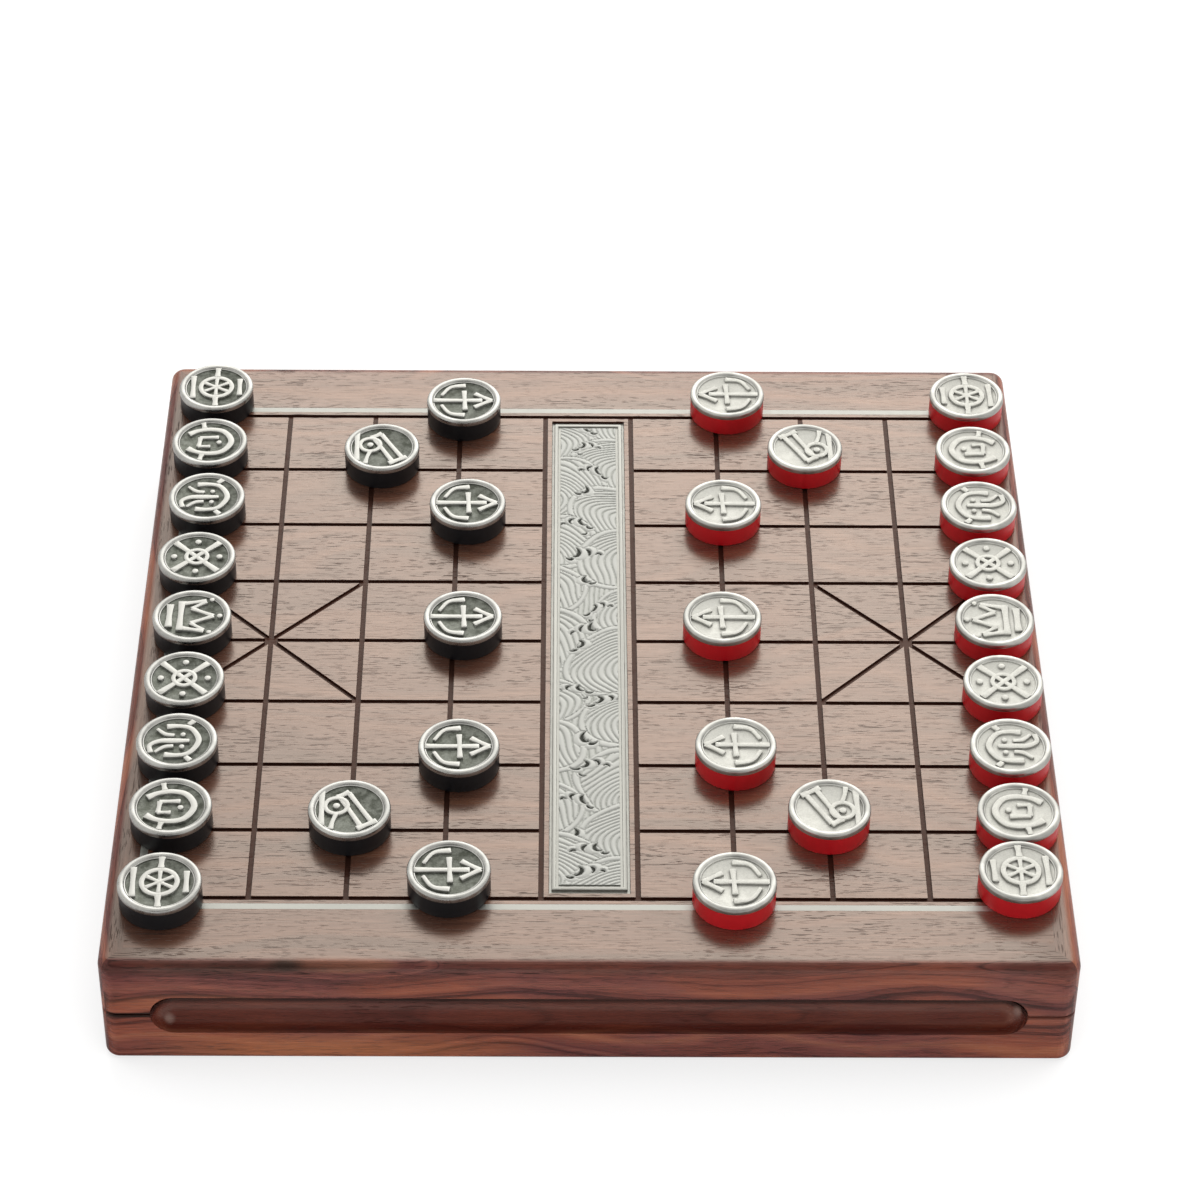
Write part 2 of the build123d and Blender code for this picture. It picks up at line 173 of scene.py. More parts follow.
scene = bpy.context.scene
scene.view_settings.view_transform = "Standard"
world = bpy.data.worlds.new("studio dome")
scene.world = world
world.use_nodes = True
world.node_tree.nodes.clear()
add = partial(add_node, world.node_tree)
direction = add("TexCoord", out="Generated")
backness, height = add("SeparateXYZ", {0: direction}).node.outputs[1:]
sky = add("MapRange", {0: backness, 1: -0.4, 2: 0.4, 3: FRONT_SKY, 4: BACK_SKY})
dome = add("MapRange", {0: height, 1: 0.08, 2: 0.34, 3: HORIZON, 4: sky}, **SMOOTH)
darkness = add("VectorMath", {0: direction, 1: TO_DARK_SIDE}, **DOT)
room = add("MapRange", {0: darkness, 1: 0.75, 2: 0.97, 3: ROOM, 4: DARK_SIDE}, **SMOOTH)
panel = add("VectorMath", {0: direction, 1: TO_PANEL}, **DOT)
panel = add("MapRange", {0: panel, 1: 0.86, 2: 0.99, 3: 0.0, 4: PANEL}, **SMOOTH)
room = add("Math", {0: room, 1: panel}, operation="ADD")
lit_dome = add("Background", {"Color": linear("#FFFFFF"), "Strength": dome})
pale_room = add("Background", {"Color": linear("#FFFDF7"), "Strength": room})
plain_white = add("Background", {"Color": linear("#FFFFFF"), "Strength": 1.0})
is_glossy = add("LightPath", out="Is Glossy Ray")
unseen = add("MixShader", {0: is_glossy, 1: lit_dome, 2: pale_room})
add("OutputWorld", {"Surface": add("MixShader", {0: seen_straight(add), 1: unseen, 2: plain_white})})
print("world:", len(world.node_tree.nodes), "nodes")

# %% [markdown]
# The floor is a sheet of white paper that shines faintly for the camera, so that it meets the white
# dome with no edge. Its shine is weaker where the box stands close by, which keeps the soft dark
# line that any box draws round its foot. Light that bounces off it meets plain white paper.
#
# One large softbox stands behind the board and to its right, and lays the pieces' soft shadows
# forwards and a little to the left. Reflections don't see it, because the room's panel stands in
# for it there.

# %% Floor and softbox
FLOOR_HALF, FLOOR_GAP, FOOT_SHADOW = 12.0, 0.0002, 0.09
# White paper sweep: soft and matt, so the eye sees only the box's own shadow on it.
material, add = new_material("white paper sweep")
paper = add("BsdfDiffuse", {"Color": linear("#7A7A7A")})
openness = add("AmbientOcclusion", {"Distance": FOOT_SHADOW}, out="AO", samples=8)
openness = add("MapRange", {0: openness, 1: 0.45, 2: 0.79, 3: 0.78, 4: 0.95}, **SMOOTH)
glow = add("Emission", {"Color": linear("#FFFFFF"), "Strength": openness})
seen_paper = add("AddShader", {0: paper, 1: glow})
bounce = add("BsdfDiffuse", {"Color": linear("#F0F0F0")})
sweep = add("MixShader", {0: seen_straight(add), 1: bounce, 2: seen_paper})
add("OutputMaterial", {"Surface": sweep})

mesh = bpy.data.meshes.new("floor")
bm = bmesh.new()
bmesh.ops.create_grid(bm, x_segments=1, y_segments=1, size=FLOOR_HALF)
bm.to_mesh(mesh)
bm.free()
floor = bpy.data.objects.new("floor", mesh)
bpy.context.collection.objects.link(floor)
floor.location.z = cad_box[0][2] - FLOOR_GAP
mesh.materials.append(material)

SOFTBOX_WIDTH, SOFTBOX_HEIGHT, RADIANCE = 3.2, 1.8, 3.0
light = bpy.data.lights.new("back softbox", "AREA")
light.shape = "RECTANGLE"
light.size, light.size_y = SOFTBOX_WIDTH, SOFTBOX_HEIGHT
light.energy = RADIANCE * math.pi * SOFTBOX_WIDTH * SOFTBOX_HEIGHT
light.color = linear("#FFFBF2")[:3]
lamp = bpy.data.objects.new("back softbox", light)
bpy.context.collection.objects.link(lamp)
lamp.visible_glossy = False
lamp.location = (0.65, 1.7, 1.4)
lamp.rotation_euler = (Vector((0.0, 0.0, 0.03)) - lamp.location).to_track_quat("-Z", "Y").to_euler()
print("softbox", round(light.energy, 1), "W")

# %% [markdown]
# Black walnut is cut flat from the log, so growth rings cross each face as long flowing veins. A
# ring is everything at one distance from the pith, a line that runs along the grain, so the
# material measures that distance and bends it with slow noise, as a tree does. A knot pushes the
# rings aside, and its heart is nearly black.
#
# A knot, a streak and a painted highlight are all soft ellipsoids, strongest in the middle and gone
# at their reach. One function makes that form, so each mark is one row of millimetres.

# %% Growth rings and knots
HEART_REACH, HEART_DARKNESS, HEART_CORE = (9.0, 4.5, 3.6), 0.85, 0.2


def soft_spot(add, place, centre, reach, peak, ease, core=0.0):
    """A soft ellipsoid: its peak inside the core, a share of the reach, and 0 at the reach."""
    offset = add("VectorMath", {0: place, 1: [v * MM for v in centre]}, operation="SUBTRACT")
    squeezed = add("VectorMath", {0: offset, 1: [1000 / v for v in reach]}, **TIMES)
    away = add("VectorMath", {0: squeezed}, **LENGTH)
    return add("MapRange", {0: away, 1: core, 2: 1.0, 3: peak, 4: 0.0}, **ease)


def growth_rings(add, place, mm, bend, knots):
    """Distance from the pith in millimetres, bent by noise and by knots, and the knots' hearts."""
    across = add("VectorMath", {0: mm, 1: (0.0, 1.0, 1.0)}, **TIMES)
    rings = add("VectorMath", {0: across}, **LENGTH)
    for long, wide, detail, push in ((115, 55, 1.0, 1.9 * bend), (45, 19, 2.0, bend / 4)):
        swell = add("VectorMath", {0: mm, 1: (1 / long, 1 / wide, 1 / wide)}, **TIMES)
        swell = add("TexNoise", {"Vector": swell, "Scale": 1.0, "Detail": detail})
        rings = add("Math", {0: swell, 1: push, 2: rings}, operation="MULTIPLY_ADD")
    hearts = []
    for x, y, z, wide, tall, push in knots:
        pushed = soft_spot(add, place, (x, y, z), (wide, tall, tall), push, SMOOTHER)
        rings = add("Math", {0: rings, 1: pushed}, operation="ADD")
        heart = soft_spot(add, place, (x, y, z), HEART_REACH, HEART_DARKNESS, SMOOTH, HEART_CORE)
        hearts.append(heart)
    return rings, hearts


# %% [markdown]
# The veins are a one-dimensional noise of that distance, so every vein follows its ring. The noise
# is read through a colour ramp whose narrow dark stop is the vein and whose last stops are the
# pale wood between. Heartwood is warm and orange in some patches and cool, nearly purple, in
# others, so there are two ramps and a slow noise that chooses between them. The flat top is
# quieter than the sides, and has a third ramp with no dark vein.

# %% Figure
VEIN_PLACES = (0.30, 0.415, 0.44, 0.468, 0.56, 0.70)
WARM_VEINS = list(zip(VEIN_PLACES, ("#6A372D", "#773F33", "#48231D", "#7B4134", "#93523F", "#A96A4D")))
COOL_VEINS = list(zip(VEIN_PLACES, ("#5A302D", "#673735", "#402021", "#6E3B37", "#824B42", "#965D49")))
CALM_VEINS = [(0.30, "#553629"), (0.42, "#5F3D30"), (0.50, "#684334"), (0.60, "#704A39"), (0.72, "#79503C")]


def figure(add, mm, rings, ring, veins):
    """The vein noise, the patch noise and their colour, for rings about so many millimetres apart."""
    across_rings = add("Math", {0: rings, 1: 1 / ring}, **TIMES)
    sockets = {"W": across_rings, "Scale": 1.0, "Detail": 4.0, "Roughness": 0.5}
    vein = add("TexNoise", sockets, noise_dimensions="1D")
    warm = add("ValToRGB", {0: vein}, stops=veins[0])
    cool = add("ValToRGB", {0: vein}, stops=veins[1])
    patch = add("VectorMath", {0: mm, 1: (1 / 70, 1 / 22, 1 / 22)}, **TIMES)
    patch = add("TexNoise", {"Vector": patch, "Scale": 1.0, "Detail": 2.0})
    patch = add("MapRange", {0: patch, 1: 0.40, 2: 0.60}, **SMOOTH)
    return vein, patch, add("Mix", {0: patch, 6: warm, 7: cool}, **COLOURS)


# %% [markdown]
# Pores are short dark dashes along the grain, the cut ends of the tree's vessels. A Voronoi pattern
# in cells stretched along the grain gives one dash to a cell, and a random number in each cell
# leaves some out. They crowd together in the dark wood.
#
# Real pores are 0.1 to 0.2 mm wide. They are drawn 0.3 mm wide, because a finer one would vanish
# in the picture.

# %% Pores
SHORT_PORES, LONG_PORES = (5.0, 0.5, 0.27, 0.40), (17.0, 0.75, 0.22, 0.32)


def pore_dashes(add, mm, vein, patch):
    """1 in the middle of a pore and 0 between pores."""
    dashes = []
    for long, wide, small, large in (SHORT_PORES, LONG_PORES):
        cell = add("VectorMath", {0: mm, 1: (1 / long, 1 / wide, 1 / wide)}, **TIMES)
        dash = add("TexVoronoi", {"Vector": cell, "Scale": 1.0})
        left_out = add("MapRange", {0: dash.node.outputs[1], 1: 0.40, 2: 0.80, 4: large})
        dash = add("Math", {0: dash, 1: left_out}, operation="ADD")
        dashes.append(add("MapRange", {0: dash, 1: small, 2: large, 3: 1.0, 4: 0.0}, **SMOOTH))
    pore = add("Math", {0: dashes[0], 1: dashes[1]}, operation="MAXIMUM")
    crowd = add("MapRange", {0: vein, 1: 0.62, 2: 0.46, 3: 0.35}, **SMOOTH)
    drift = add("MapRange", {0: patch, 3: 0.5})
    for share in (crowd, drift):
        pore = add("Math", {0: pore, 1: share}, **TIMES)
    return pore


# %% [markdown]
# A satin lacquer lies over the wood. On the flat top it mirrors the room's bright panel as a pale
# veil, and on the sides and the rounded edges it hardly shows. The veil is the shader's own
# specular reflection, a little warm, and its strength follows the place: less out on the rails
# beside the board, silky along the fibres, and broken by each open pore.

# %% Flat top and sheen
ROUNDED_X, ROUNDED_Y, BACK_RAIL = (170.8, 172.2), (170.4, 171.9), (145.0, 160.0)
SIDE_SHEEN, LEFT_SHEEN, RIGHT_SHEEN = 0.28, 0.50, 0.66


def flat_top(add, x, y):
    """1 on the flat top, 0 on the sides and the rounded edges, and a little less than 1 at the back."""
    facing = add("NewGeometry", out="True Normal")
    flat = add("VectorMath", {0: facing, 1: (0.0, 0.0, 1.0)}, **DOT)
    flat = add("MapRange", {0: flat, 1: 0.992, 2: 0.9996}, **SMOOTH)
    out_x = add("Math", {0: x}, operation="ABSOLUTE")
    out_y = add("Math", {0: y}, operation="ABSOLUTE")
    fades = ((out_x, ROUNDED_X, 0.0), (out_y, ROUNDED_Y, 0.0), (y, BACK_RAIL, 0.85))
    for where, (start, end), least in fades:
        fade = add("MapRange", {0: where, 1: start * MM, 2: end * MM, 3: 1.0, 4: least})
        flat = add("Math", {0: flat, 1: fade}, **TIMES)
    return flat


def lacquer_sheen(add, x, flat, fibre, pore):
    """How much of its full strength the veil has at a point."""
    out_x = add("Math", {0: x}, operation="ABSOLUTE")
    rail = add("MapRange", {0: x, 1: -170.0 * MM, 2: 170.0 * MM, 3: LEFT_SHEEN, 4: RIGHT_SHEEN})
    rail = add("MapRange", {0: out_x, 1: 150.0 * MM, 2: 169.0 * MM, 3: 1.0, 4: rail}, **SMOOTH)
    silky = add("MapRange", {0: fibre, 1: 0.3, 2: 0.7, 3: 0.83, 4: 1.17})
    open_pore = add("MapRange", {0: pore, 3: 1.0, 4: 0.42})
    sheen = add("MapRange", {0: flat, 3: SIDE_SHEEN})
    for share in (rail, silky, open_pore):
        sheen = add("Math", {0: sheen, 1: share}, **TIMES)
    return sheen


# %% [markdown]
# The finger cove is milled. Its colour is made evener and darker than the rail round it, partly
# as painted shade for the hollow, and darkest in its upper half, which is painted shade under
# the overhang. A painted shadow darkens the edges along the gap between lid and base, most at the
# left end. At the cove's two round ends a small pale spot is a painted highlight.

# %% Cove
SPLIT_HEIGHT, GAP_SHADOW_NEAR, GAP_SHADOW_FAR = 22.8, 0.8, 1.6
ARRIS, COVE_MOUTH, COVE_BACK = (-174.4, -173.4), (-174.6, -173.1), (-165.9, -165.4)
COVE_TOP, COVE_SHADE = (33.0, 34.0), (19.4, 21.9)
LIT_TINT, SHADED_TINT = (0.62, 0.44, 0.42, 1.0), (0.13, 0.08, 0.08, 1.0)
HIGHLIGHT_SPOTS, HIGHLIGHT_REACH = ((-151.3, -169.8, 15.4), (155.0, -168.5, 19.8)), 3.1


def cove_finish(add, place, colour, x, y, z):
    """The front rails' colour with the darkened cove, its painted shade, a painted gap shadow and painted
    highlights.
    """
    # Painted shadow of the gap between lid and base: a dark band along it on the outer face, strongest at the
    # left end.
    off_joint = add("Math", {0: z, 1: SPLIT_HEIGHT * MM}, operation="SUBTRACT")
    off_joint = add("Math", {0: off_joint}, operation="ABSOLUTE")
    gap_shadow = add("MapRange", {0: off_joint, 1: GAP_SHADOW_NEAR * MM, 2: GAP_SHADOW_FAR * MM, 3: 0.93, 4: 0.0}, **SMOOTH)
    along = add("MapRange", {0: x, 1: -0.15, 2: 0.17, 3: 1.0, 4: 0.35})
    limits = ((y, ARRIS, 1.0), (y, COVE_MOUTH, 0.0), (y, COVE_BACK, 1.0), (z, COVE_TOP, 1.0))
    outer, oiled, shallow, below = (
        add("MapRange", {0: axis, 1: start * MM, 2: end * MM, 3: before, 4: 1.0 - before})
        for axis, (start, end), before in limits
    )
    for share in (along, outer):
        gap_shadow = add("Math", {0: gap_shadow, 1: share}, **TIMES)
    colour = add("Mix", {0: gap_shadow, 6: colour, 7: linear("#1C0E0B")}, **COLOURS)
    # In the cove the colour is evened and darkened, partly as painted shade, and most in the upper half, which
    # is painted shade.
    for share in (below, shallow):
        oiled = add("Math", {0: oiled, 1: share}, **TIMES)
    even = add("Math", {0: oiled, 1: 0.4}, **TIMES)
    colour = add("Mix", {0: even, 6: colour, 7: linear("#784034")}, **COLOURS)
    shaded = add("MapRange", {0: z, 1: COVE_SHADE[0] * MM, 2: COVE_SHADE[1] * MM}, **SMOOTHER)
    tint = add("Mix", {0: shaded, 6: LIT_TINT, 7: SHADED_TINT}, **COLOURS)
    tint = add("Mix", {0: oiled, 6: (1.0, 1.0, 1.0, 1.0), 7: tint}, **COLOURS)
    colour = add("VectorMath", {0: colour, 1: tint}, **TIMES)
    # Painted highlights: a small pale spot in each round end of the cove.
    for centre in HIGHLIGHT_SPOTS:
        pale = soft_spot(add, place, centre, (HIGHLIGHT_REACH,) * 3, 0.36, SMOOTHER, core=0.2 / HIGHLIGHT_REACH)
        colour = add("Mix", {0: pale, 6: colour, 7: linear("#C9AEA2")}, **COLOURS)
    return colour


# %% [markdown]
# The whole wood is put together from these steps. Fine fibres run through everything as light and
# dark threads. The grid's grooves, cut into the board, are stained dark and left without lacquer,
# so whatever lies just under the board's top takes the stain.
#
# A lacquer's index of refraction is about 1.5. Here it is set to 2.37, because many
# rubbed-out coats give back more light than one smooth skin does.

# %% Walnut
BOARD_TOP, STAIN_EDGE = 48.0, (-0.12, -0.02)


def lacquered_walnut(
    name, pith, seed, turn=0.0, veins=(WARM_VEINS, COOL_VEINS), ring=6.5, bend=15.0,
    knots=(), streaks=(), pores=0.72, grooved=False, cove=False,
):
    """Black walnut under satin lacquer, its grain along X once turned; all sizes are in millimetres."""
    material, add = new_material(name)
    place = add("TexCoord", out="Object")
    x, y, z = add("SeparateXYZ", {0: place}).node.outputs
    log = {"Location": (seed, -pith[0], -pith[1]), "Rotation": (0.0, 0.0, turn), "Scale": (1000.0,) * 3}
    mm = add("Mapping", {"Vector": place, **log})
    rings, hearts = growth_rings(add, place, mm, bend, knots)
    vein, patch, colour = figure(add, mm, rings, ring, veins)
    for *centre, wide, tall, strength, tone in streaks:
        streak = soft_spot(add, place, centre, (wide, tall, tall), strength, SMOOTH)
        colour = add("Mix", {0: streak, 6: colour, 7: linear(tone)}, **COLOURS)
    flat = flat_top(add, x, y)
    quiet = add("ValToRGB", {0: vein}, stops=CALM_VEINS)
    colour = add("Mix", {0: flat, 6: colour, 7: quiet}, **COLOURS)
    for heart in hearts:
        colour = add("Mix", {0: heart, 6: colour, 7: linear("#22130F")}, **COLOURS)
    fibre = add("VectorMath", {0: mm, 1: (1 / 18, 1 / 0.5, 1 / 0.5)}, **TIMES)
    fibre = add("TexNoise", {"Vector": fibre, "Scale": 1.0, "Detail": 4.0, "Roughness": 0.65})
    shade = add("MapRange", {0: fibre, 1: 0.3, 2: 0.7, 3: 0.68, 4: 1.28})
    colour = add("VectorMath", {0: colour, "Scale": shade}, operation="SCALE")
    pore = pore_dashes(add, mm, vein, patch)
    filled = add("Math", {0: pore, 1: pores}, **TIMES)
    colour = add("Mix", {0: filled, 6: colour, 7: linear("#1E120E")}, **COLOURS)
    if cove:
        colour = cove_finish(add, place, colour, x, y, z)
    sheen = lacquer_sheen(add, x, flat, fibre, pore)
    if grooved:
        start, end = ((BOARD_TOP + edge) * MM for edge in STAIN_EDGE)
        stain = add("MapRange", {0: z, 1: start, 2: end, 3: 1.0, 4: 0.0})
        dye = add("Mix", {0: shade, 6: linear("#301B16"), 7: linear("#4E3026")}, **COLOURS)
        colour = add("Mix", {0: stain, 6: colour, 7: dye}, **COLOURS)
        bare = add("MapRange", {0: stain, 3: 1.0, 4: 0.10})
        sheen = add("Math", {0: sheen, 1: bare}, **TIMES)
    roughness = add("MapRange", {0: pore, 3: 0.23, 4: 0.50})
    level = add("Math", {0: sheen, 1: 0.5}, **TIMES)
    height = add("Math", {0: fibre, 1: 0.25}, **TIMES)
    height = add("Math", {0: height, 1: pore}, operation="SUBTRACT")
    bump = add("Bump", {"Height": height, "Strength": 0.35, "Distance": 0.06 * MM})
    veil = {"IOR": 2.37, "Specular IOR Level": level, "Specular Tint": linear("#FFF2E8")}
    wood = add("BsdfPrincipled", {"Base Color": colour, "Roughness": roughness, "Normal": bump, **veil})
    add("OutputMaterial", {"Surface": wood})
    return material


# %% [markdown]
# Each rail was sawn from another place in the log, so each has its own pith and seed. The front
# rails show most, and their marks are set one by one: a knot by the top edge with a dark vein
# beside it, a bend in the rings over the cove, and two pale streaks towards the left end.

# %% Woods of the box
QUARTER = math.pi / 2
FRONT_KNOTS = [(-108.0, -174.0, 47.5, 84.0, 24.0, 7.0), (60.0, -170.0, 20.0, 50.0, 16.0, -4.0)]
PALE_STREAK, DARK_VEIN = "#B5714C", "#3C1D15"
FRONT_STREAKS = [
    (-95.0, -175.0, 5.0, 90.0, 12.0, 0.80, PALE_STREAK),
    (-135.0, -175.0, 29.0, 55.0, 6.0, 0.42, PALE_STREAK),
    (-125.0, -175.0, 47.3, 90.0, 5.4, 0.95, DARK_VEIN),
]
CALM = (CALM_VEINS, CALM_VEINS)
# Lacquered black walnut: flowing dark veins in red-brown wood, and a pale satin veil on the top.
WALNUT = "lacquered black walnut, "
marks = {"knots": FRONT_KNOTS, "streaks": FRONT_STREAKS, "cove": True}
rails = {"front": lacquered_walnut(WALNUT + "front rails", (-128.0, -34.0), 0.0, ring=8.5, **marks)}
rails["back"] = lacquered_walnut(WALNUT + "back rails", (120.0, -40.0), 700.0)
rails["left"] = lacquered_walnut(WALNUT + "left rails", (-118.0, -36.0), 1300.0, -QUARTER)
rails["right"] = lacquered_walnut(WALNUT + "right rails", (122.0, -42.0), 2100.0, -QUARTER)
# The playing board: one calm, evenly grained panel with dark, dull grooves.
board = {"veins": CALM, "ring": 7.0, "bend": 16.0, "pores": 0.78, "grooved": True}
board_walnut = lacquered_walnut(WALNUT + "playing board", (20.0, -60.0), 90.0, **board)
# Oiled black walnut: the same calm brown, seen only when the box is open.
inside = {"veins": CALM, "ring": 8.0, "bend": 18.0}
inside_walnut = lacquered_walnut("oiled black walnut, inside", (40.0, -90.0), 400.0, **inside)

for side, wood in rails.items():
    for part in ("lid", "base"):
        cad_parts[f"{part}_{side}_rail"].data.materials[0] = wood
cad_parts["board_panel"].data.materials[0] = board_walnut
for name in ("base_panel", "bay_divider"):
    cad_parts[name].data.materials[0] = inside_walnut
print("walnut on", 2 * len(rails), "rails and 3 panels")

# %% [markdown]
# Each playing piece is two parts: a turned disc, black or red, and a cast pewter cap on top of it.
# Both are round, so both are lathe work: half of the outline, spun once about the middle. A spin
# leaves a pin-hole at each pole and a seam along the start, so doubles are merged before the
# normals are turned outwards.
#
# Every new shape goes through new_piece, which gives it its materials and the body that it moves
# with.


# %% Helpers for turned work
def turned(outline, steps):
    """A bmesh of an outline of (radius, height) points in millimetres, spun round Z."""
    bm = bmesh.new()
    verts = [bm.verts.new((r * MM, 0.0, z * MM)) for r, z in outline]
    geom = verts + [bm.edges.new(pair) for pair in zip(verts, verts[1:])]
    full = {"steps": steps, "angle": 2 * math.pi, "use_merge": True}
    bmesh.ops.spin(bm, geom=geom, axis=(0.0, 0.0, 1.0), cent=(0.0, 0.0, 0.0), **full)
    bmesh.ops.remove_doubles(bm, verts=bm.verts[:], dist=1e-6)
    bmesh.ops.recalc_face_normals(bm, faces=bm.faces[:])
    return bm


def new_piece(bm, name, materials, body, sharp=35.0):
    """Makes one object from a bmesh, smooth but for edges sharper than the angle, and rides it."""
    mesh = bpy.data.meshes.new(name)
    bm.to_mesh(mesh)
    bm.free()
    mesh.shade_smooth()
    mesh.set_sharp_from_angle(angle=math.radians(sharp))
    for material in materials:
        mesh.materials.append(material)
    piece = bpy.data.objects.new(name, mesh)
    bpy.context.collection.objects.link(piece)
    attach(piece, body)
    return piece


# %% [markdown]
# Pewter is a soft tin alloy. Where it is cast it keeps the fine grain of the sand mould, and where
# it is buffed it mirrors the white room. It is mottled over a few millimetres. Painted shade
# darkens its tight hollows, and a buffed rim has slow darker and brighter streaks painted in,
# which stand for reflections. One function makes all six finishes from those features.


# %% Pewter
def pewter(name, colours, roughness, grain, grain_depth, worn=0.0, streak=0.0, crease_shade=0.0):
    """Mottled pewter with a grain so many millimetres wide and deep; worn, streak and crease_shade are shares
    by which the grain, slow streaks of painted reflection and painted shade in tight hollows change the colour."""
    material, add = new_material(name)
    place = add("TexCoord", out="Object")
    cloud = add("TexNoise", {"Vector": place, "Scale": 1000 / 3.2, "Detail": 4.0, "Roughness": 0.6})
    cloud = add("MapRange", {0: cloud, 1: 0.36, 2: 0.64}, **SMOOTH)
    colour = add("Mix", {0: cloud, 6: linear(colours[0]), 7: linear(colours[1])}, **COLOURS)
    sand = add("TexNoise", {"Vector": place, "Scale": 1000 / grain, "Detail": 3.0, "Roughness": 0.6})
    shades = []
    if worn:
        shades.append(add("MapRange", {0: sand, 1: 0.35, 2: 0.65, 3: 1.0 - worn, 4: 1.0 + worn}))
    # Painted reflections: slow bands darken and lighten the colour, as a buffed rim would mirror a dark and
    # bright room.
    if streak:
        band = add("TexNoise", {"Vector": place, "Scale": 1000 / 9.0, "Detail": 1.0})
        ends = {3: 1.0 - streak, 4: 1.0 + streak / 4}
        shades.append(add("MapRange", {0: band, 1: 0.40, 2: 0.60, **ends}, **SMOOTH))
    # Painted shade: the colour darkens where a point is closed in, as in the creases round a sign.
    if crease_shade:
        open_sky = add("AmbientOcclusion", {"Distance": 1.3 * MM}, out="AO")
        shades.append(add("MapRange", {0: open_sky, 1: 0.50, 2: 0.92, 3: 1.0 - crease_shade}))
    for shade in shades:
        colour = add("VectorMath", {0: colour, "Scale": shade}, operation="SCALE")
    gloss = add("MapRange", {0: cloud, 3: roughness[0], 4: roughness[1]})
    bump = add("Bump", {"Height": sand, "Strength": 0.6, "Distance": grain_depth * MM})
    sockets = {"Base Color": colour, "Metallic": 1.0, "Roughness": gloss, "Normal": bump}
    add("OutputMaterial", {"Surface": add("BsdfPrincipled", sockets)})
    return material


# The black pieces' rims: smooth, with clear soft reflections.
polished_pewter = pewter(
    "polished cast pewter", ("#B2B2B0", "#BABAB8"), (0.26, 0.32), 0.9, 0.0004, streak=0.15
)
# The red pieces' rims: whiter and a little softer.
bright_pewter = pewter(
    "bright cast pewter, lightly buffed", ("#BDBDBA", "#C6C6C3"), (0.30, 0.38), 0.9, 0.004, streak=0.20
)
# The black pieces' sunken fields: dark grey and grainy, so the sign stands out.
blackened_pewter = pewter(
    "blackened cast pewter, wiped back", ("#565952", "#82857F"), (0.42, 0.58), 0.7, 0.05, worn=0.18
)
# The red pieces' fields and signs: nearly white and matt, told apart only by dark creases, deepened with
# painted shade.
sanded_pewter = pewter(
    "sand-cast pewter, left bright", ("#D3D3CF", "#DDDDD9"), (0.58, 0.72), 0.55, 0.05, worn=0.07, crease_shade=0.40
)
# The black pieces' signs: pale metal from which the black was wiped off.
wiped_pewter = pewter("wiped cast pewter, raised signs", ("#BEBEBB", "#C8C8C5"), (0.42, 0.52), 0.6, 0.01)
# The inlay and the plaque's frame: an even grey satin.
satin_pewter = pewter("satin pewter, inlay and plaque frame", ("#A9A9A5", "#B2B2AE"), (0.42, 0.50), 0.6, 0.01)

# %% [markdown]
# The discs under the caps are anodised: black, or a bright cherry red. An anodised skin is thin,
# hard and even, with the faint round marks of the lathe under it, so the colour sits on a
# half-rough base and a very fine ripple runs up the side. The ripple is drawn at 0.5 mm, where
# the tool's own marks would be nearer 0.1 mm.


# %% Anodised discs
def anodised(name, colours, roughness, level):
    """An anodised turned side with a 0.5 mm lathe ripple and slow, faint clouds of colour."""
    material, add = new_material(name)
    place = add("TexCoord", out="Object")
    cloud = add("TexNoise", {"Vector": place, "Scale": 1000 / 6.0, "Detail": 3.0})
    mixed = add("Mix", {0: cloud, 6: linear(colours[0]), 7: linear(colours[1])}, **COLOURS)
    ripple = add("VectorMath", {0: place, 1: (15.0, 15.0, 1000 / 0.5)}, **TIMES)
    ripple = add("TexNoise", {"Vector": ripple, "Scale": 1.0, "Detail": 2.0})
    bump = add("Bump", {"Height": ripple, "Strength": 0.25, "Distance": 0.02 * MM})
    sockets = {"Base Color": mixed, "Roughness": roughness, "Normal": bump, "Specular IOR Level": level}
    add("OutputMaterial", {"Surface": add("BsdfPrincipled", sockets)})
    return material


# Black: soft and deep, with a dim sheen. Red: clear and strong, a little glossier.
black_skin = anodised("black anodised disc", ("#101114", "#17181B"), 0.40, 0.3)
red_skin = anodised("cherry red anodised disc", ("#BC141D", "#A90F18"), 0.38, 0.4)

# %% [markdown]
# The cap's outline runs from the middle of its underside out to the rim, over the rim's low dome,
# down the inner wall, across a thin ledge and down again to the sunken field. The dome is part of
# a superellipse, flatter on top than a circle, because a buffed rim wears that way.

# %% Outlines of disc and cap
BODY_HEIGHT, BODY_RADIUS, CAP_RADIUS, CAP_HEIGHT = 7.7, 15.1, 15.25, 2.4
FIELD_RADIUS, FIELD_HEIGHT = 12.3, 1.25
DOME_MIDDLE, DOME_HALF, DOME_FOOT, DOME_STEPS = 13.97, 1.28, 1.35, 12
body_outline = [(0.0, 0.0), (BODY_RADIUS - 0.5, 0.0), (BODY_RADIUS - 0.15, 0.15), (BODY_RADIUS, 0.5)]
body_outline += [(BODY_RADIUS, 3.0), (BODY_RADIUS, 5.4), (BODY_RADIUS, BODY_HEIGHT), (0.0, BODY_HEIGHT)]
cap_outline = [(0.0, 0.0), (CAP_RADIUS - 0.35, 0.0), (CAP_RADIUS - 0.08, 0.1)]
cap_outline += [(CAP_RADIUS, 0.35), (CAP_RADIUS, 1.1)]
for k in range(1, DOME_STEPS):
    turn = math.pi * k / DOME_STEPS
    flat = abs(math.cos(turn)) ** 0.75 * math.copysign(1.0, math.cos(turn))
    rise = (CAP_HEIGHT - DOME_FOOT) * math.sin(turn) ** 0.8
    cap_outline.append((DOME_MIDDLE + DOME_HALF * flat, DOME_FOOT + rise))
cap_outline += [(12.74, 1.9), (12.67, 1.82), (12.4, 1.8), (FIELD_RADIUS, 1.72)]
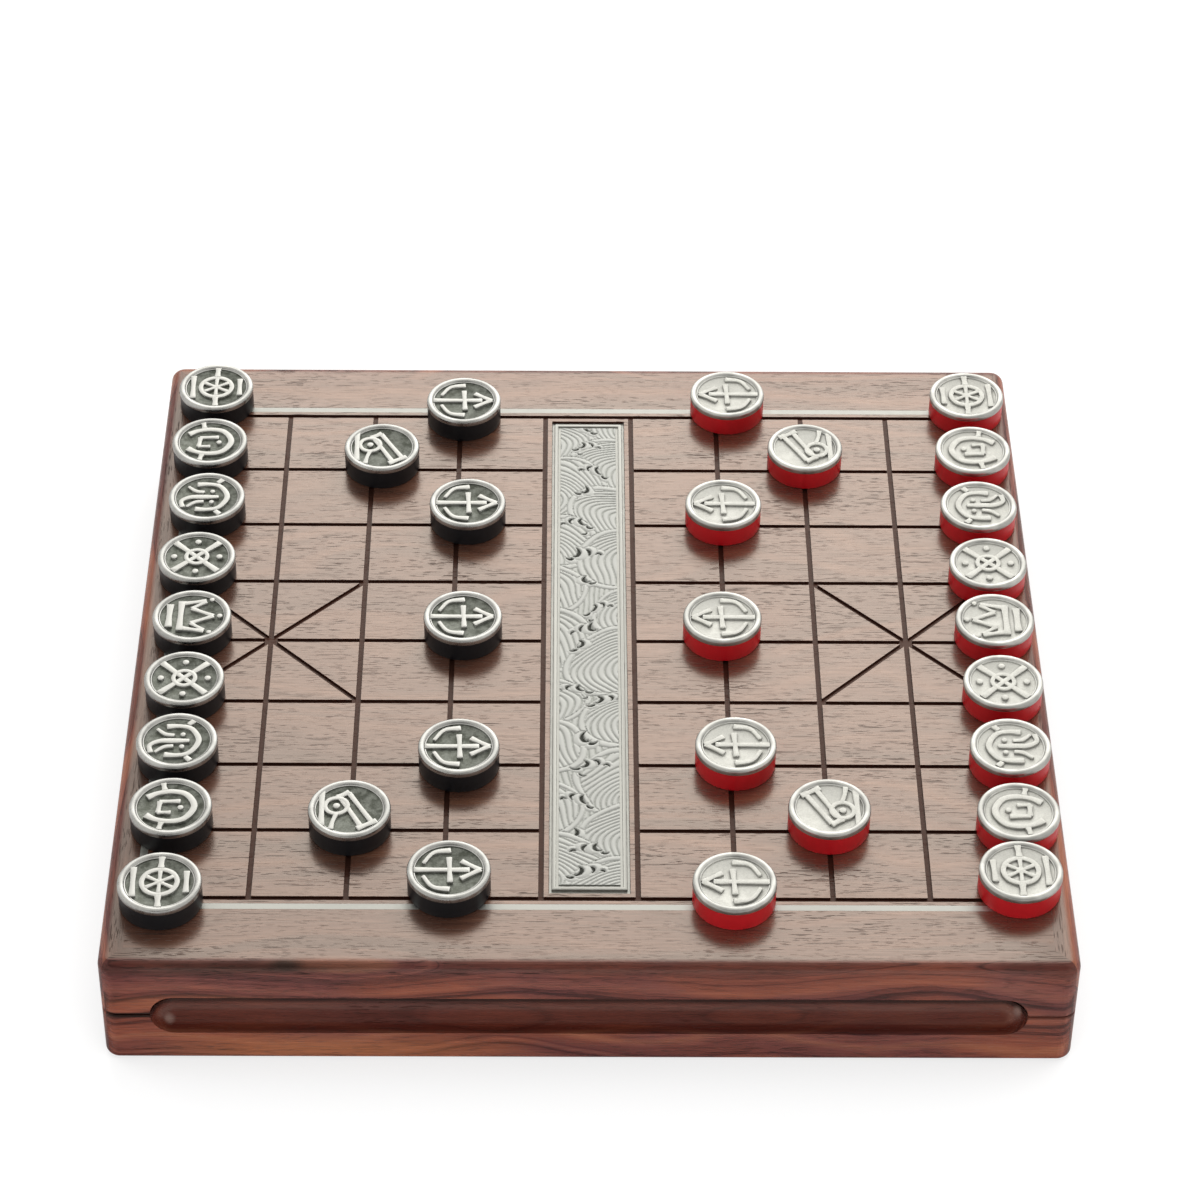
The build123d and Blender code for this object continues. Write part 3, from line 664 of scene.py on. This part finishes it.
cap_outline += [(FIELD_RADIUS - 0.08, FIELD_HEIGHT + 0.08)]
cap_outline += [(FIELD_RADIUS - 0.2, FIELD_HEIGHT), (0.0, FIELD_HEIGHT)]
disc_low, disc_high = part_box("black_general")
print("piece height", round((disc_high[2] - disc_low[2]) / MM, 2), "of", BODY_HEIGHT + CAP_HEIGHT)

# %% [markdown]
# The raised signs are plain pictures of what each piece is: a spoked wheel, a horseshoe, an
# elephant's head, a crossed ring, a crown, a gun on its carriage and a spear. Each is drawn with a
# few strokes whose width swells and tapers like a brush line.
#
# A stroke is a flat strip of squares laid along a smooth curve and then extruded upwards. Its
# ends and its top edges are bevelled, because a casting has no sharp corners. A Catmull-Rom curve
# passes through every point given to it, so a few points are enough to say where a stroke goes.

# %% Raising a flat shape
ROUNDING = 0.2


def thicken(bm, height):
    """Extrudes a flat sheet of faces straight up by a height in metres."""
    top = bmesh.ops.extrude_face_region(bm, geom=bm.faces[:])["geom"]
    risen = [v for v in top if isinstance(v, bmesh.types.BMVert)]
    bmesh.ops.translate(bm, verts=risen, vec=(0.0, 0.0, height))
    bmesh.ops.recalc_face_normals(bm, faces=bm.faces[:])


def soften(bm, edges, offset, segments=2):
    """Bevels edges to a round by an offset in metres."""
    shape = {"segments": segments, "profile": 0.5, "clamp_overlap": True}
    bmesh.ops.bevel(bm, geom=edges, offset=offset, affect="EDGES", material=-1, **shape)


def rounded_up(bm, height):
    """Thickens a flat outline to a height in metres and rounds its upright corners and top edges."""
    thicken(bm, height)
    folds = [e for e in bm.edges if e.calc_face_angle(0.0) > 1.0]
    soften(bm, [e for e in folds if abs(e.verts[0].co.z - e.verts[1].co.z) > 1e-5], ROUNDING * 1.6 * MM)
    folds = [e for e in bm.edges if e.calc_face_angle(0.0) > 1.0]
    soften(bm, [e for e in folds if min(v.co.z for v in e.verts) > height * 0.5], ROUNDING * MM)


# %% Brush strokes
BRUSH = 1.12


def smooth_path(points, closed):
    """Points on a Catmull-Rom curve through (x, y, width) points."""
    knots = [Vector(point) for point in points]
    if closed:
        knots = [knots[-1]] + knots + knots[:2]
    else:
        knots = [2 * knots[0] - knots[1]] + knots + [2 * knots[-1] - knots[-2]]
    path = []
    for a, b, c, d in zip(knots, knots[1:], knots[2:], knots[3:]):
        for t in (0.0, 0.2, 0.4, 0.6, 0.8):
            point = 2 * b + (c - a) * t
            point += (2 * a - 5 * b + 4 * c - d) * t**2
            point += (3 * b - a - 3 * c + d) * t**3
            path.append(0.5 * point)
    return path + [knots[-2].copy()]


def stroke(points, closed=False):
    """A strip of squares along the path of (x, y, width) points in millimetres."""
    path = smooth_path(points, closed)
    last = len(path) - 1
    bm = bmesh.new()
    bmesh.ops.create_grid(bm, x_segments=last, y_segments=1, size=0.5)
    for vert in bm.verts:
        step = round((vert.co.x + 0.5) * last)
        here = path[step]
        ahead = path[(step + 1) % last] if closed else path[min(step + 1, last)]
        behind = path[(step - 1) % last] if closed else path[max(step - 1, 0)]
        along = (ahead - behind).xy.normalized()
        side = math.copysign(0.5 * BRUSH * here.z, vert.co.y)
        vert.co = ((here.x - along.y * side) * MM, (here.y + along.x * side) * MM, 0.0)
    bmesh.ops.remove_doubles(bm, verts=bm.verts[:], dist=1e-6)
    return bm


def dot(x, y, radius):
    """A round spot."""
    bm = bmesh.new()
    bmesh.ops.create_circle(bm, cap_ends=True, segments=14, radius=radius * MM)
    bmesh.ops.translate(bm, verts=bm.verts[:], vec=(x * MM, y * MM, 0.0))
    return bm


def ring(x, y, radius, width):
    """A closed round stroke."""
    around = [2 * math.pi * k / 8 for k in range(8)]
    points = [(x + radius * math.cos(a), y + radius * math.sin(a), width) for a in around]
    return stroke(points, closed=True)


def line(x0, y0, x1, y1, width=1.7, flare=1.25, taper=1.0):
    """A straight brush line that starts and ends a little wide."""
    middle = ((x0 + x1) / 2, (y0 + y1) / 2, width * 0.92)
    return stroke([(x0, y0, width * flare), middle, (x1, y1, width * flare * taper)])


def lines(*rows):
    """Several brush lines."""
    return [line(*row) for row in rows]


def dots(*rows):
    """Several round spots."""
    return [dot(*row) for row in rows]


def mirrored(points):
    """The same stroke on the other side of the sign's middle."""
    return [(-x, y, width) for x, y, width in points]


def arch(half):
    """A stroke whose last point is its crown, carried down again on the other side."""
    return stroke(half + mirrored(half[-2::-1]))


# %% Chariot, horse and elephant
def chariot():
    """A wheel with six spokes, the ends of its axle, and a rail above and below."""
    ends = [(5.6 * math.cos(a), 5.6 * math.sin(a)) for a in (0.0, math.pi / 3, -math.pi / 3)]
    spokes = [line(x, y, -x, -y, 1.2, 1.3) for x, y in ends]
    bars = lines((-7.2, -9.4, 7.2, -9.0, 1.8), (-5.4, 9.2, 5.2, 9.5, 1.7))
    bars += lines((-12.4, 0.1, -6.6, 0.0, 1.9), (6.6, 0.0, 12.4, 0.3, 1.9))
    return [ring(0.0, 0.0, 6.2, 1.7), dot(0.0, 0.0, 1.7)] + spokes + bars


def horse():
    """A horseshoe, and a stirrup hanging inside it."""
    shoe = [(-4.4, -8.6, 2.6), (-6.6, -5.0, 1.9), (-7.6, 0.2, 2.0), (-6.0, 5.4, 2.1), (0.0, 8.4, 2.2)]
    step = [(-2.6, 3.4, 1.9), (-2.5, -0.6, 1.4), (-2.3, -4.2, 1.7)]
    sides = lines((-2.4, -3.8, 3.4, -4.2, 1.6), (3.2, -4.6, 3.1, 0.4, 1.3, 1.3))
    sides += lines((-11.9, -3.4, -8.2, -2.6), (8.2, -2.6, 11.9, -3.4))
    return [arch(shoe), stroke(step)] + sides + [dot(0.6, 3.6, 1.1)]


def elephant():
    """An elephant's head from in front: dome, trunk, tusks, ears and eyes."""
    dome = [(-7.4, -4.2, 2.4), (-7.7, 0.4, 1.7), (-6.2, 5.0, 1.8), (0.0, 7.9, 2.0)]
    trunk = [(0.0, 4.6, 1.5), (0.1, -1.6, 2.2), (0.3, -6.2, 1.9), (2.6, -9.6, 1.6), (6.4, -9.0, 1.9)]
    tusk = [(-2.8, -1.0, 1.4), (-3.4, -4.4, 1.5), (-6.2, -7.6, 1.1)]
    ear = [(-8.4, 3.6, 1.7), (-10.6, 5.6, 2.1)]
    pairs = [stroke(points) for points in (tusk, mirrored(tusk), ear, mirrored(ear))]
    return [arch(dome), stroke(trunk)] + pairs + dots((-3.2, 2.0, 1.0), (3.2, 2.0, 1.0))


# %% Advisor and general
def advisor():
    """Two crossed staffs behind a ring, with four dots."""
    staffs = lines((-8.4, -8.8, 8.4, 8.4, 1.8, 1.35), (8.4, -8.8, -8.4, 8.4, 1.8, 1.35))
    corners = dots((0.0, 8.6, 1.25), (0.0, -8.6, 1.25), (8.6, 0.0, 1.25), (-8.6, 0.0, 1.25))
    return staffs + [ring(0.0, 0.0, 4.0, 1.5)] + corners


def general():
    """A crown with three points, on two bands."""
    crown = lines((-7.0, -3.4, -8.6, 5.0, 1.6), (-8.2, 5.0, -4.0, -0.4, 1.4), (-4.2, -0.4, 0.0, 8.2, 1.5))
    crown += lines((0.0, 8.2, 4.2, -0.4, 1.5), (4.0, -0.4, 8.2, 5.0, 1.4), (8.6, 5.0, 7.0, -3.4, 1.6))
    bands = lines((-8.2, -4.2, 8.2, -4.2, 2.0), (-6.4, -8.4, 6.4, -8.4, 2.1))
    return crown + bands + dots((-9.2, 7.0, 1.0), (0.0, 10.4, 1.1), (9.2, 7.0, 1.0))


# %% Cannon and soldier
def cannon():
    """A gun barrel on a wheel, with its trail and the ground under it."""
    barrel = lines((-8.2, -0.6, 7.4, 8.6, 1.7, 1.1), (-6.0, -3.6, 9.4, 4.6, 1.7, 1.1))
    ends = lines((-8.6, -0.2, -5.6, -4.6, 1.9), (6.0, 10.0, 10.2, 3.0, 1.9))
    wheel = [ring(-1.4, -4.6, 4.0, 1.5), dot(-1.4, -4.6, 1.3)]
    ground = line(-9.4, -10.0, 8.8, -9.6, 1.8)
    return barrel + ends + wheel + [ground, stroke([(2.4, -4.4, 1.6), (6.6, -5.6, 1.4), (10.6, -6.2, 1.9)])]


def soldier():
    """A spear with a cross guard, between the two sides of a round shield."""
    shield = [(-9.6, 0.6, 2.2), (-8.4, -5.4, 1.5), (-3.0, -9.0, 1.3)]
    spear = lines((0.0, -12.3, 0.0, 7.4, 1.8, 1.2), (-4.4, 4.2, 0.2, 11.2, 1.7, 1.2))
    spear += lines((4.4, 4.2, -0.2, 11.2, 1.7, 1.2), (-6.2, 0.0, 6.2, 0.6, 1.6))
    return spear + [stroke(shield), stroke(mirrored(shield))]


# %% [markdown]
# Strokes that cross would share one flat top, and two surfaces in the same place flicker. Each
# stroke is therefore raised a hair more than the one before, far less than the eye can see. It
# starts a little below the field, so that no gap shows under it.

# %% Put a cap together
STROKE_HEIGHT, STROKE_SINK, HAIR, SIGN_SCALE = 0.86, 0.15, 0.012, 1.035
FIELD, SIGN = 1, 2


def cap_mesh(sign):
    """One cap at the origin; its sunken field and its sign have the second and third material."""
    bm = turned(cap_outline, 64)
    for face in bm.faces:
        middle = face.calc_center_median()
        inside = middle.xy.length < (FIELD_RADIUS + 0.02) * MM
        if inside and middle.z > (FIELD_HEIGHT - 0.05) * MM:
            face.material_index = FIELD
    mesh = bpy.data.meshes.new("stroke")
    for k, part in enumerate(sign()):
        bmesh.ops.scale(part, verts=part.verts[:], vec=(SIGN_SCALE, SIGN_SCALE, 1.0))
        rounded_up(part, (STROKE_HEIGHT + STROKE_SINK + HAIR * k) * MM)
        bmesh.ops.translate(part, verts=part.verts[:], vec=(0.0, 0.0, (FIELD_HEIGHT - STROKE_SINK) * MM))
        for face in part.faces:
            face.material_index = SIGN
        part.to_mesh(mesh)
        part.free()
        bm.from_mesh(mesh)
    bpy.data.meshes.remove(mesh)
    return bm


# %% [markdown]
# The CAD model has a plain piece at each place, and the node's name says its side and kind. A disc
# and a cap take its place and move with its body. Each side's signs face the player who owns them.

# %% Thirty-two pieces
signs = {sign.__name__: sign for sign in (chariot, horse, elephant, advisor, general, cannon, soldier)}
black_metals = (polished_pewter, blackened_pewter, wiped_pewter)
red_metals = (bright_pewter, sanded_pewter, sanded_pewter)
sides = {"black": (black_skin, black_metals, -QUARTER), "red": (red_skin, red_metals, QUARTER)}
triangles = 0
for node in sorted(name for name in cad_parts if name.split("_")[0] in sides):
    side, kind = node.split("_")[:2]
    skin, metals, turn = sides[side]
    low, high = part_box(node)
    foot = Matrix.Translation(((low[0] + high[0]) / 2, (low[1] + high[1]) / 2, low[2]))
    disc = turned(body_outline, 64)
    disc.transform(foot)
    disc = new_piece(disc, f"{node}_disc", [skin], node)
    cap = cap_mesh(signs[kind])
    cap.transform(foot @ Matrix.Translation((0.0, 0.0, BODY_HEIGHT * MM)) @ Matrix.Rotation(turn, 4, "Z"))
    cap = new_piece(cap, f"{node}_cap", metals, node)
    for piece in (disc, cap):
        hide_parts(node)
        triangles += sum(len(p.vertices) - 2 for p in piece.data.polygons)
print("32 pieces,", triangles, "triangles")

# %% [markdown]
# The plaque that marks the river is one long pewter casting, set into a pocket between the two
# halves of the board. A thin flange lies in the pocket, a block stands on it, and inside the
# block's plain frame runs a relief of sea waves: bands of round ridges that swell and cross, with
# curls of foam along their crests.
#
# The body is quick to model: one flat block, whose top face is inset, extruded, inset and pushed
# down again, and whose crisp edges are then bevelled.

# %% Plaque body
# The flange's height and how far it shows beside the block and beyond its ends, then how far the
# block rises, how wide its frame is and how deep the field lies, all in millimetres.
FLANGE, SHOULDER, END_SHOULDER, RISE, BORDER, FIELD_DROP = 1.2, 1.3, 2.2, 1.1, 2.2, 0.6
FRAME_ROUNDING = 0.3
plaque_low, plaque_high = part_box("river_plaque")
plaque_x, plaque_y = (plaque_low[0] + plaque_high[0]) / 2, (plaque_low[1] + plaque_high[1]) / 2
plaque_width, plaque_length = plaque_high[0] - plaque_low[0], plaque_high[1] - plaque_low[1]


def top_face(bm):
    """The face that lies highest and is the widest there."""
    return max(bm.faces, key=lambda face: (round(face.calc_center_median().z, 6), face.calc_area()))


def pushed(bm, face, height):
    """Extrudes one face by a height in millimetres and returns the moved face."""
    made = bmesh.ops.extrude_discrete_faces(bm, faces=[face])["faces"][0]
    bmesh.ops.translate(bm, verts=made.verts[:], vec=(0.0, 0.0, height * MM))
    return made


def off_centre(face):
    """Smallest for the large face in the middle of the plaque."""
    return abs(face.calc_center_median().y - plaque_y) - face.calc_area()


bm = bmesh.new()
bmesh.ops.create_cube(bm, size=1.0)
bmesh.ops.scale(bm, vec=(plaque_width, plaque_length, FLANGE * MM), verts=bm.verts[:])
middle = (plaque_x, plaque_y, plaque_low[2] + FLANGE * MM / 2)
bmesh.ops.translate(bm, vec=middle, verts=bm.verts[:])
bmesh.ops.inset_region(bm, faces=[top_face(bm)], thickness=SHOULDER * MM)
inner = min((face for face in bm.faces if face.normal.z > 0.9), key=off_centre)
for vert in inner.verts:
    vert.co.y -= math.copysign((END_SHOULDER - SHOULDER) * MM, vert.co.y - plaque_y)
block = pushed(bm, inner, RISE)
bmesh.ops.inset_region(bm, faces=[block], thickness=BORDER * MM)
pushed(bm, block, -FIELD_DROP)
bmesh.ops.recalc_face_normals(bm, faces=bm.faces[:])
block_top = plaque_low[2] + (FLANGE + RISE) * MM
folds = [edge for edge in bm.edges if abs(edge.calc_face_angle_signed(0.0)) > 1.0]
crisp = [edge for edge in folds if min(v.co.z for v in edge.verts) > block_top - 0.05 * MM]
soften(bm, crisp, FRAME_ROUNDING * MM, segments=3)
plaque = new_piece(bm, "river_plaque_body", [satin_pewter], "lid")
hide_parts("river_plaque")
print("plaque", [round(v / MM, 1) for v in (plaque_width, plaque_length)])

# %% [markdown]
# The relief is a fine grid whose points are lifted by a formula, because its ridges follow one
# rule everywhere. Each wave is a warped disc with a wide crest along its edge, and the ridges
# inside it curl round a point off its middle. The waves are looked up from one end of the plaque to
# the other, and the first that holds a point hides the rest, as overlapping scales do.
#
# Foam breaks from each wave's tip in two to five hooks. Inside its curl a hook has a crescent-shaped
# hollow, which the patina will turn nearly black.

# %% Waves and foam
# How wide a ridge and a crest are, how many waves fill the field and how far along one reaches.
RIDGE, CREST, WAVES, REACH = 2.3, 2.8, 17, 28.0
TROUGH, CREST_RISE, SWELL_TOP, HOLLOW = 0.30, 0.62, 0.84, 0.04
# A hook's place from the wave's tip, its radius, and its turn in radians.
FOAM = ((0.0, 0.0, 3.3, 0.6), (3.4, -3.0, 2.5, 1.5), (-3.9, 1.2, 2.6, -0.2))
FOAM += ((-7.2, -0.2, 2.0, -1.0), (2.0, -6.4, 1.8, 2.4))
field_width = plaque_width / MM - 2 * (SHOULDER + BORDER)
field_length = plaque_length / MM - 2 * (END_SHOULDER + BORDER)
waves = []
for k in range(-1, WAVES + 1):
    wander = noise.cell_vector(Vector((k * 1.7 + 20.0, 3.3, 8.1)))
    side = 1 if k % 2 else -1
    x = side * (10.0 + 7.0 * wander.x)
    y = (k + 0.5) * field_length / WAVES - field_length / 2 + 6.0 * (wander.y - 0.5)
    radius = 14.0 + 8.0 * wander.z
    tip_x = side * (5.0 - 9.0 * wander.z)
    tip_y = y + math.sqrt(radius**2 - (tip_x - x) ** 2) - 2.6
    grown = 0.85 + 0.3 * wander.y
    crest = FOAM[: (5, 2, 4)[k % 3]]
    foam = [(tip_x - side * dx, tip_y + dy, size * grown, turn) for dx, dy, size, turn in crest]
    waves.append((x, y, radius, side, foam))
print(len(waves), "waves with", sum(len(wave[4]) for wave in waves), "hooks of foam")

# %% [markdown]
# Heights run from nearly 0 in a hollow to 1 on the tallest foam. A ridge's section is a flattened
# round, nearer to a bead than to a sine wave, because the mould was carved with a gouge.


# %% Height of the sea
def bead(across):
    """A rounded ridge: 0 in the groove, 1 on top, for a place across it from 0 to 1."""
    return (1.0 - abs(2.0 * across - 1.0) ** 3.2) ** 0.8


def claw(dx, dy, away):
    """A hook of foam with a dark hollow in its curl, in its own radius; None where the sea shows."""
    bite = math.hypot(dx - 0.50, dy + 0.10) - 0.68
    if bite < 0.0:
        under = math.hypot(dx - 0.95, dy + 0.28) - 0.78
        return HOLLOW if under > 0.0 else None
    return 0.50 + 0.50 * (1.0 - away**2) ** 0.5 * min(1.0, bite / 0.22) ** 0.5


def foam_height(x, y, side, foam):
    """The height of the first of a wave's hooks that holds a point, or None."""
    for fx, fy, size, turn in foam:
        dx, dy = side * (fx - x) / size, (y - fy) / size
        away = math.hypot(dx, dy)
        if away < 1.0:
            turned_x = dx * math.cos(turn) + dy * math.sin(turn)
            turned_y = dy * math.cos(turn) - dx * math.sin(turn)
            hook = claw(turned_x, turned_y, away)
            if hook is not None:
                return hook
    return None


def relief(x, y):
    """The height of the sea at a place in millimetres from the middle of the plaque."""
    # The whole sea is warped first, by up to 3 mm across and 5 mm along.
    wx = x + 3.0 * noise.noise(Vector((x / 26.0, y / 24.0, 4.0)))
    wy = y + 5.0 * noise.noise(Vector((x / 24.0, y / 30.0, 9.0)))
    for cx, cy, radius, side, foam in waves:
        if abs(y - cy) > REACH:
            continue
        hook = foam_height(wx, wy, side, foam)
        if hook is not None:
            return hook
        dx, dy = wx - cx, wy - cy
        inside = radius - math.hypot(dx, dy)
        if inside <= 0.0:
            continue
        if inside < CREST:
            return TROUGH + CREST_RISE * bead(inside / CREST)
        swell = SWELL_TOP - 0.14 * min(1.0, (inside - CREST) / radius)
        flow = math.hypot(dx - 7.0 * side, dy + 9.0) + 2.6 * math.sin(dy / 5.5 + cx)
        return TROUGH + (swell - TROUGH) * bead((flow / RIDGE) % 1.0)
    return TROUGH + 0.4 * bead((wx / RIDGE) % 1.0)


# %% [markdown]
# The relief is a slab whose top is cut into squares and then lifted. A ridge is 2.3 mm from its
# neighbour and the squares are 0.3 mm, between seven and eight to a ridge, which is few but still
# makes it look round. Each point also keeps its height as an attribute, for the patina.

# %% Relief slab
SQUARE, RELIEF_LOW, RELIEF_HIGH, OVERLAP, SLAB = 0.3, 0.02, 0.64, 0.02, 0.5
across_squares, along_squares = round(field_width / SQUARE), round(field_length / SQUARE)
field_floor = plaque_low[2] / MM + FLANGE + RISE - FIELD_DROP
slab_size = ((field_width + OVERLAP) * MM, (field_length + OVERLAP) * MM, SLAB * MM)


def runs(edge, axis):
    """Whether an edge is longer than a millimetre along an axis."""
    return abs(edge.verts[0].co[axis] - edge.verts[1].co[axis]) > MM


bm = bmesh.new()
bmesh.ops.create_cube(bm, size=1.0)
bmesh.ops.scale(bm, vec=slab_size, verts=bm.verts[:])
lengthways = [edge for edge in top_face(bm).edges if runs(edge, 1)]
bmesh.ops.subdivide_edges(bm, edges=lengthways, cuts=along_squares - 1)
roof = max(vert.co.z for vert in bm.verts)
crossways = [edge for edge in bm.edges if min(v.co.z for v in edge.verts) > roof - 1e-6 and runs(edge, 0)]
bmesh.ops.subdivide_edges(bm, edges=crossways, cuts=across_squares - 1)
polish = bm.verts.layers.float.new("polish")
for vert in bm.verts:
    if vert.co.z > 0.0:
        height = relief(vert.co.x / MM, vert.co.y / MM)
        vert[polish] = height
        vert.co.z = (RELIEF_LOW + (RELIEF_HIGH - RELIEF_LOW) * height) * MM
bmesh.ops.recalc_face_normals(bm, faces=bm.faces[:])
bmesh.ops.translate(bm, vec=(plaque_x, plaque_y, field_floor * MM), verts=bm.verts[:])
print("relief", len(bm.faces), "faces")

# %% [markdown]
# The relief is blackened all over and then wiped, so the patina stays in the grooves and hollows
# and the ridges are bright. The material reads each point's height back to place the tones.
#
# The four strips let in round the grid keep the CAD model's shape. They are of the same metal as
# the plaque's frame.

# %% Wiped relief
# Pewter wiped back: the eye sees black lines between soft grey ridges, with slow blotches.
material, add = new_material("sea relief, pewter wiped back")
PATINA = [(0.14, "#30312E"), (0.34, "#5E605C"), (0.52, "#8F918D"), (0.85, "#A4A5A3")]
height = add("Attribute", out="Fac", attribute_name="polish")
place = add("TexCoord", out="Object")
blotch = add("TexNoise", {"Vector": place, "Scale": 1000 / 7.0, "Detail": 3.0})
height = add("Math", {0: blotch, 1: 0.22, 2: height}, operation="MULTIPLY_ADD")
colour = add("ValToRGB", {0: height}, stops=PATINA)
sand = add("TexNoise", {"Vector": place, "Scale": 1000 / 0.6, "Detail": 2.0})
bump = add("Bump", {"Height": sand, "Strength": 0.4, "Distance": 0.02 * MM})
sockets = {"Base Color": colour, "Metallic": 1.0, "Roughness": 0.42, "Normal": bump}
add("OutputMaterial", {"Surface": add("BsdfPrincipled", sockets)})
relief_piece = new_piece(bm, "river_plaque_relief", [material], "lid", sharp=80.0)
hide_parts("river_plaque")

strips = [node for name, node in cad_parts.items() if name.startswith("border_strip_")]
for node in strips:
    node.data.materials[0] = satin_pewter
print("satin pewter on", len(strips), "border strips")

# %% [markdown]
# The two butt hinges are drawn brass, a little dulled by handling. Brass is a metal through and
# through, so its colour is its reflection. Straight brush marks run along the leaves, and they
# are drawn 0.4 mm apart.

# %% Brass
# Brushed brass, lightly tarnished: yellow with brown clouds, and a streaky, half-soft gloss.
brass, add = new_material("brushed brass, lightly tarnished")
TARNISH = [(0.32, "#8A6A36"), (0.52, "#B8944F"), (0.72, "#CDAE6A")]
place = add("TexCoord", out="Object")
cloud = add("TexNoise", {"Vector": place, "Scale": 1000 / 5.0, "Detail": 4.0, "Roughness": 0.6})
colour = add("ValToRGB", {0: cloud}, stops=TARNISH)
brush = add("VectorMath", {0: place, 1: (1000 / 25.0, 1000 / 0.4, 1000 / 0.4)}, **TIMES)
brush = add("TexNoise", {"Vector": brush, "Scale": 1.0, "Detail": 2.0})
gloss = add("MapRange", {0: brush, 3: 0.24, 4: 0.42})
bump = add("Bump", {"Height": brush, "Strength": 0.3, "Distance": 0.02 * MM})
sockets = {"Base Color": colour, "Metallic": 1.0, "Roughness": gloss, "Normal": bump}
add("OutputMaterial", {"Surface": add("BsdfPrincipled", sockets)})
hinge_nodes = [node for name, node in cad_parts.items() if "hinge" in name]
for node in hinge_nodes:
    node.data.materials[0] = brass
print("brass on", len(hinge_nodes), "nodes")

# %% [markdown]
# Charcoal wool felt lines the two bays and the lid, and a thin baize covers the underside so that
# the box doesn't scratch a table. Felt has no weave: it is a mat of fibres, so the eye sees soft
# mottling, a fuzzy edge and a pale sheen at a low angle. Each sheet is a closed slab with a rounded
# edge, and its faces rise and fall by a few hundredths of a millimetre.

# %% Felt
# Wool felt: a soft, dark, blotchy mat with no shine but a faint bloom where it turns away.
felt, add = new_material("charcoal wool felt")
WOOL = [(0.55, "#1E1C1E"), (0.78, "#2E2B2D"), (1.0, "#45413F")]
place = add("TexCoord", out="Object")
mottle = add("TexNoise", {"Vector": place, "Scale": 1000 / 9.0, "Detail": 4.0, "Roughness": 0.65})
hair = {"Scale": 1000 / 0.7, "Detail": 4.0, "Roughness": 0.7, "Distortion": 1.2}
fibre = add("TexNoise", {"Vector": place, **hair})
both = add("Math", {0: fibre, 1: 0.6, 2: mottle}, operation="MULTIPLY_ADD")
colour = add("ValToRGB", {0: both}, stops=WOOL)
bump = add("Bump", {"Height": fibre, "Strength": 0.8, "Distance": 0.25 * MM})
sockets = {"Base Color": colour, "Roughness": 0.95, "Normal": bump, "Specular IOR Level": 0.2}
bloom = {"Sheen Weight": 0.35, "Sheen Roughness": 0.5}
add("OutputMaterial", {"Surface": add("BsdfPrincipled", {**sockets, **bloom})})

FELT_SQUARE, FELT_LIFT, FELT_WAVE = 4.0, 0.035, 6.0


def felt_slab(low, high):
    """A slab of felt between two corners in metres, on small squares, with a rounded edge."""
    size = Vector(high) - Vector(low)
    bm = bmesh.new()
    squares = [round(length / (FELT_SQUARE * MM)) for length in (size.x, size.y)]
    bmesh.ops.create_grid(bm, x_segments=squares[0], y_segments=squares[1], size=0.5)
    bmesh.ops.scale(bm, vec=(size.x, size.y, 1.0), verts=bm.verts[:])
    thicken(bm, size.z)
    soften(bm, [edge for edge in bm.edges if edge.calc_face_angle(0.0) > 1.0], 0.35 * size.z)
    for vert in bm.verts:
        lift = FELT_LIFT * MM * (1.0 + noise.noise(vert.co / (FELT_WAVE * MM)))
        vert.co.z += lift if vert.co.z < size.z / 2 else -lift
    middle = Vector(low) + Vector((size.x, size.y, 0.0)) / 2
    bmesh.ops.translate(bm, vec=middle, verts=bm.verts[:])
    return bm


def lay_felt(name, node, low, high, body, held, rests_on):
    """Lays one sheet of felt that stands for a node, and prints the size it was cut to."""
    piece = new_piece(felt_slab(low, high), name, [felt], body, sharp=60.0)
    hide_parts(node)
    print(name, [round((b - a) / MM, 1) for a, b in zip(low, high)])


# %% [markdown]
# Four sheets are laid. The two bays share one node, so its box is split at the divider, and each
# sheet stops half a millimetre short of it. A laid sheet only rests in place, and a stretched one
# is glued to what it covers.

# %% Lay the felts
GAP = 0.5 * MM
divider_low, divider_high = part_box("bay_divider")
bays_low, bays_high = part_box("bay_felts")
left_end = (divider_low[0] - GAP, bays_high[1], bays_high[2])
right_start = (divider_high[0] + GAP, bays_low[1], bays_low[2])
lay_felt("left_bay_felt", "bay_felts", bays_low, left_end, "base", "laid", ["base_panel"])
lay_felt("right_bay_felt", "bay_felts", right_start, bays_high, "base", "laid", ["base_panel"])
lay_felt("lid_felt", "lid_lining", *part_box("lid_lining"), "lid", "stretched", ["board_panel"])
lay_felt("underside_felt", "underside_baize", *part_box("underside_baize"), "base", "stretched", ["base_panel"])

# %% [markdown]
# Two small round felt pads keep the lid from knocking on the base. They are turned like the discs,
# as low cushions with a soft shoulder.

# %% Lid bumpers
bumper_low, bumper_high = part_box("lid_bumpers")
pad_radius = (bumper_high[1] - bumper_low[1]) / 2 / MM
thick = (bumper_high[2] - bumper_low[2]) / MM
pad_outline = [(0.0, 0.0), (0.6 * pad_radius, 0.0), (0.9 * pad_radius, 0.3 * thick)]
pad_outline += [(pad_radius, thick * 0.8), (0.98 * pad_radius, thick), (0.0, thick)]
centres = {"left": bumper_low[0] + pad_radius * MM, "right": bumper_high[0] - pad_radius * MM}
for name, x in centres.items():
    pad = turned(pad_outline, 32)
    middle = (x, (bumper_low[1] + bumper_high[1]) / 2, bumper_low[2])
    bmesh.ops.translate(pad, verts=pad.verts[:], vec=middle)
    pad = new_piece(pad, f"{name}_lid_bumper", [felt], "lid")
    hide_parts("lid_bumpers")
print("bumpers of radius", round(pad_radius, 2), "and height", round(thick, 2))
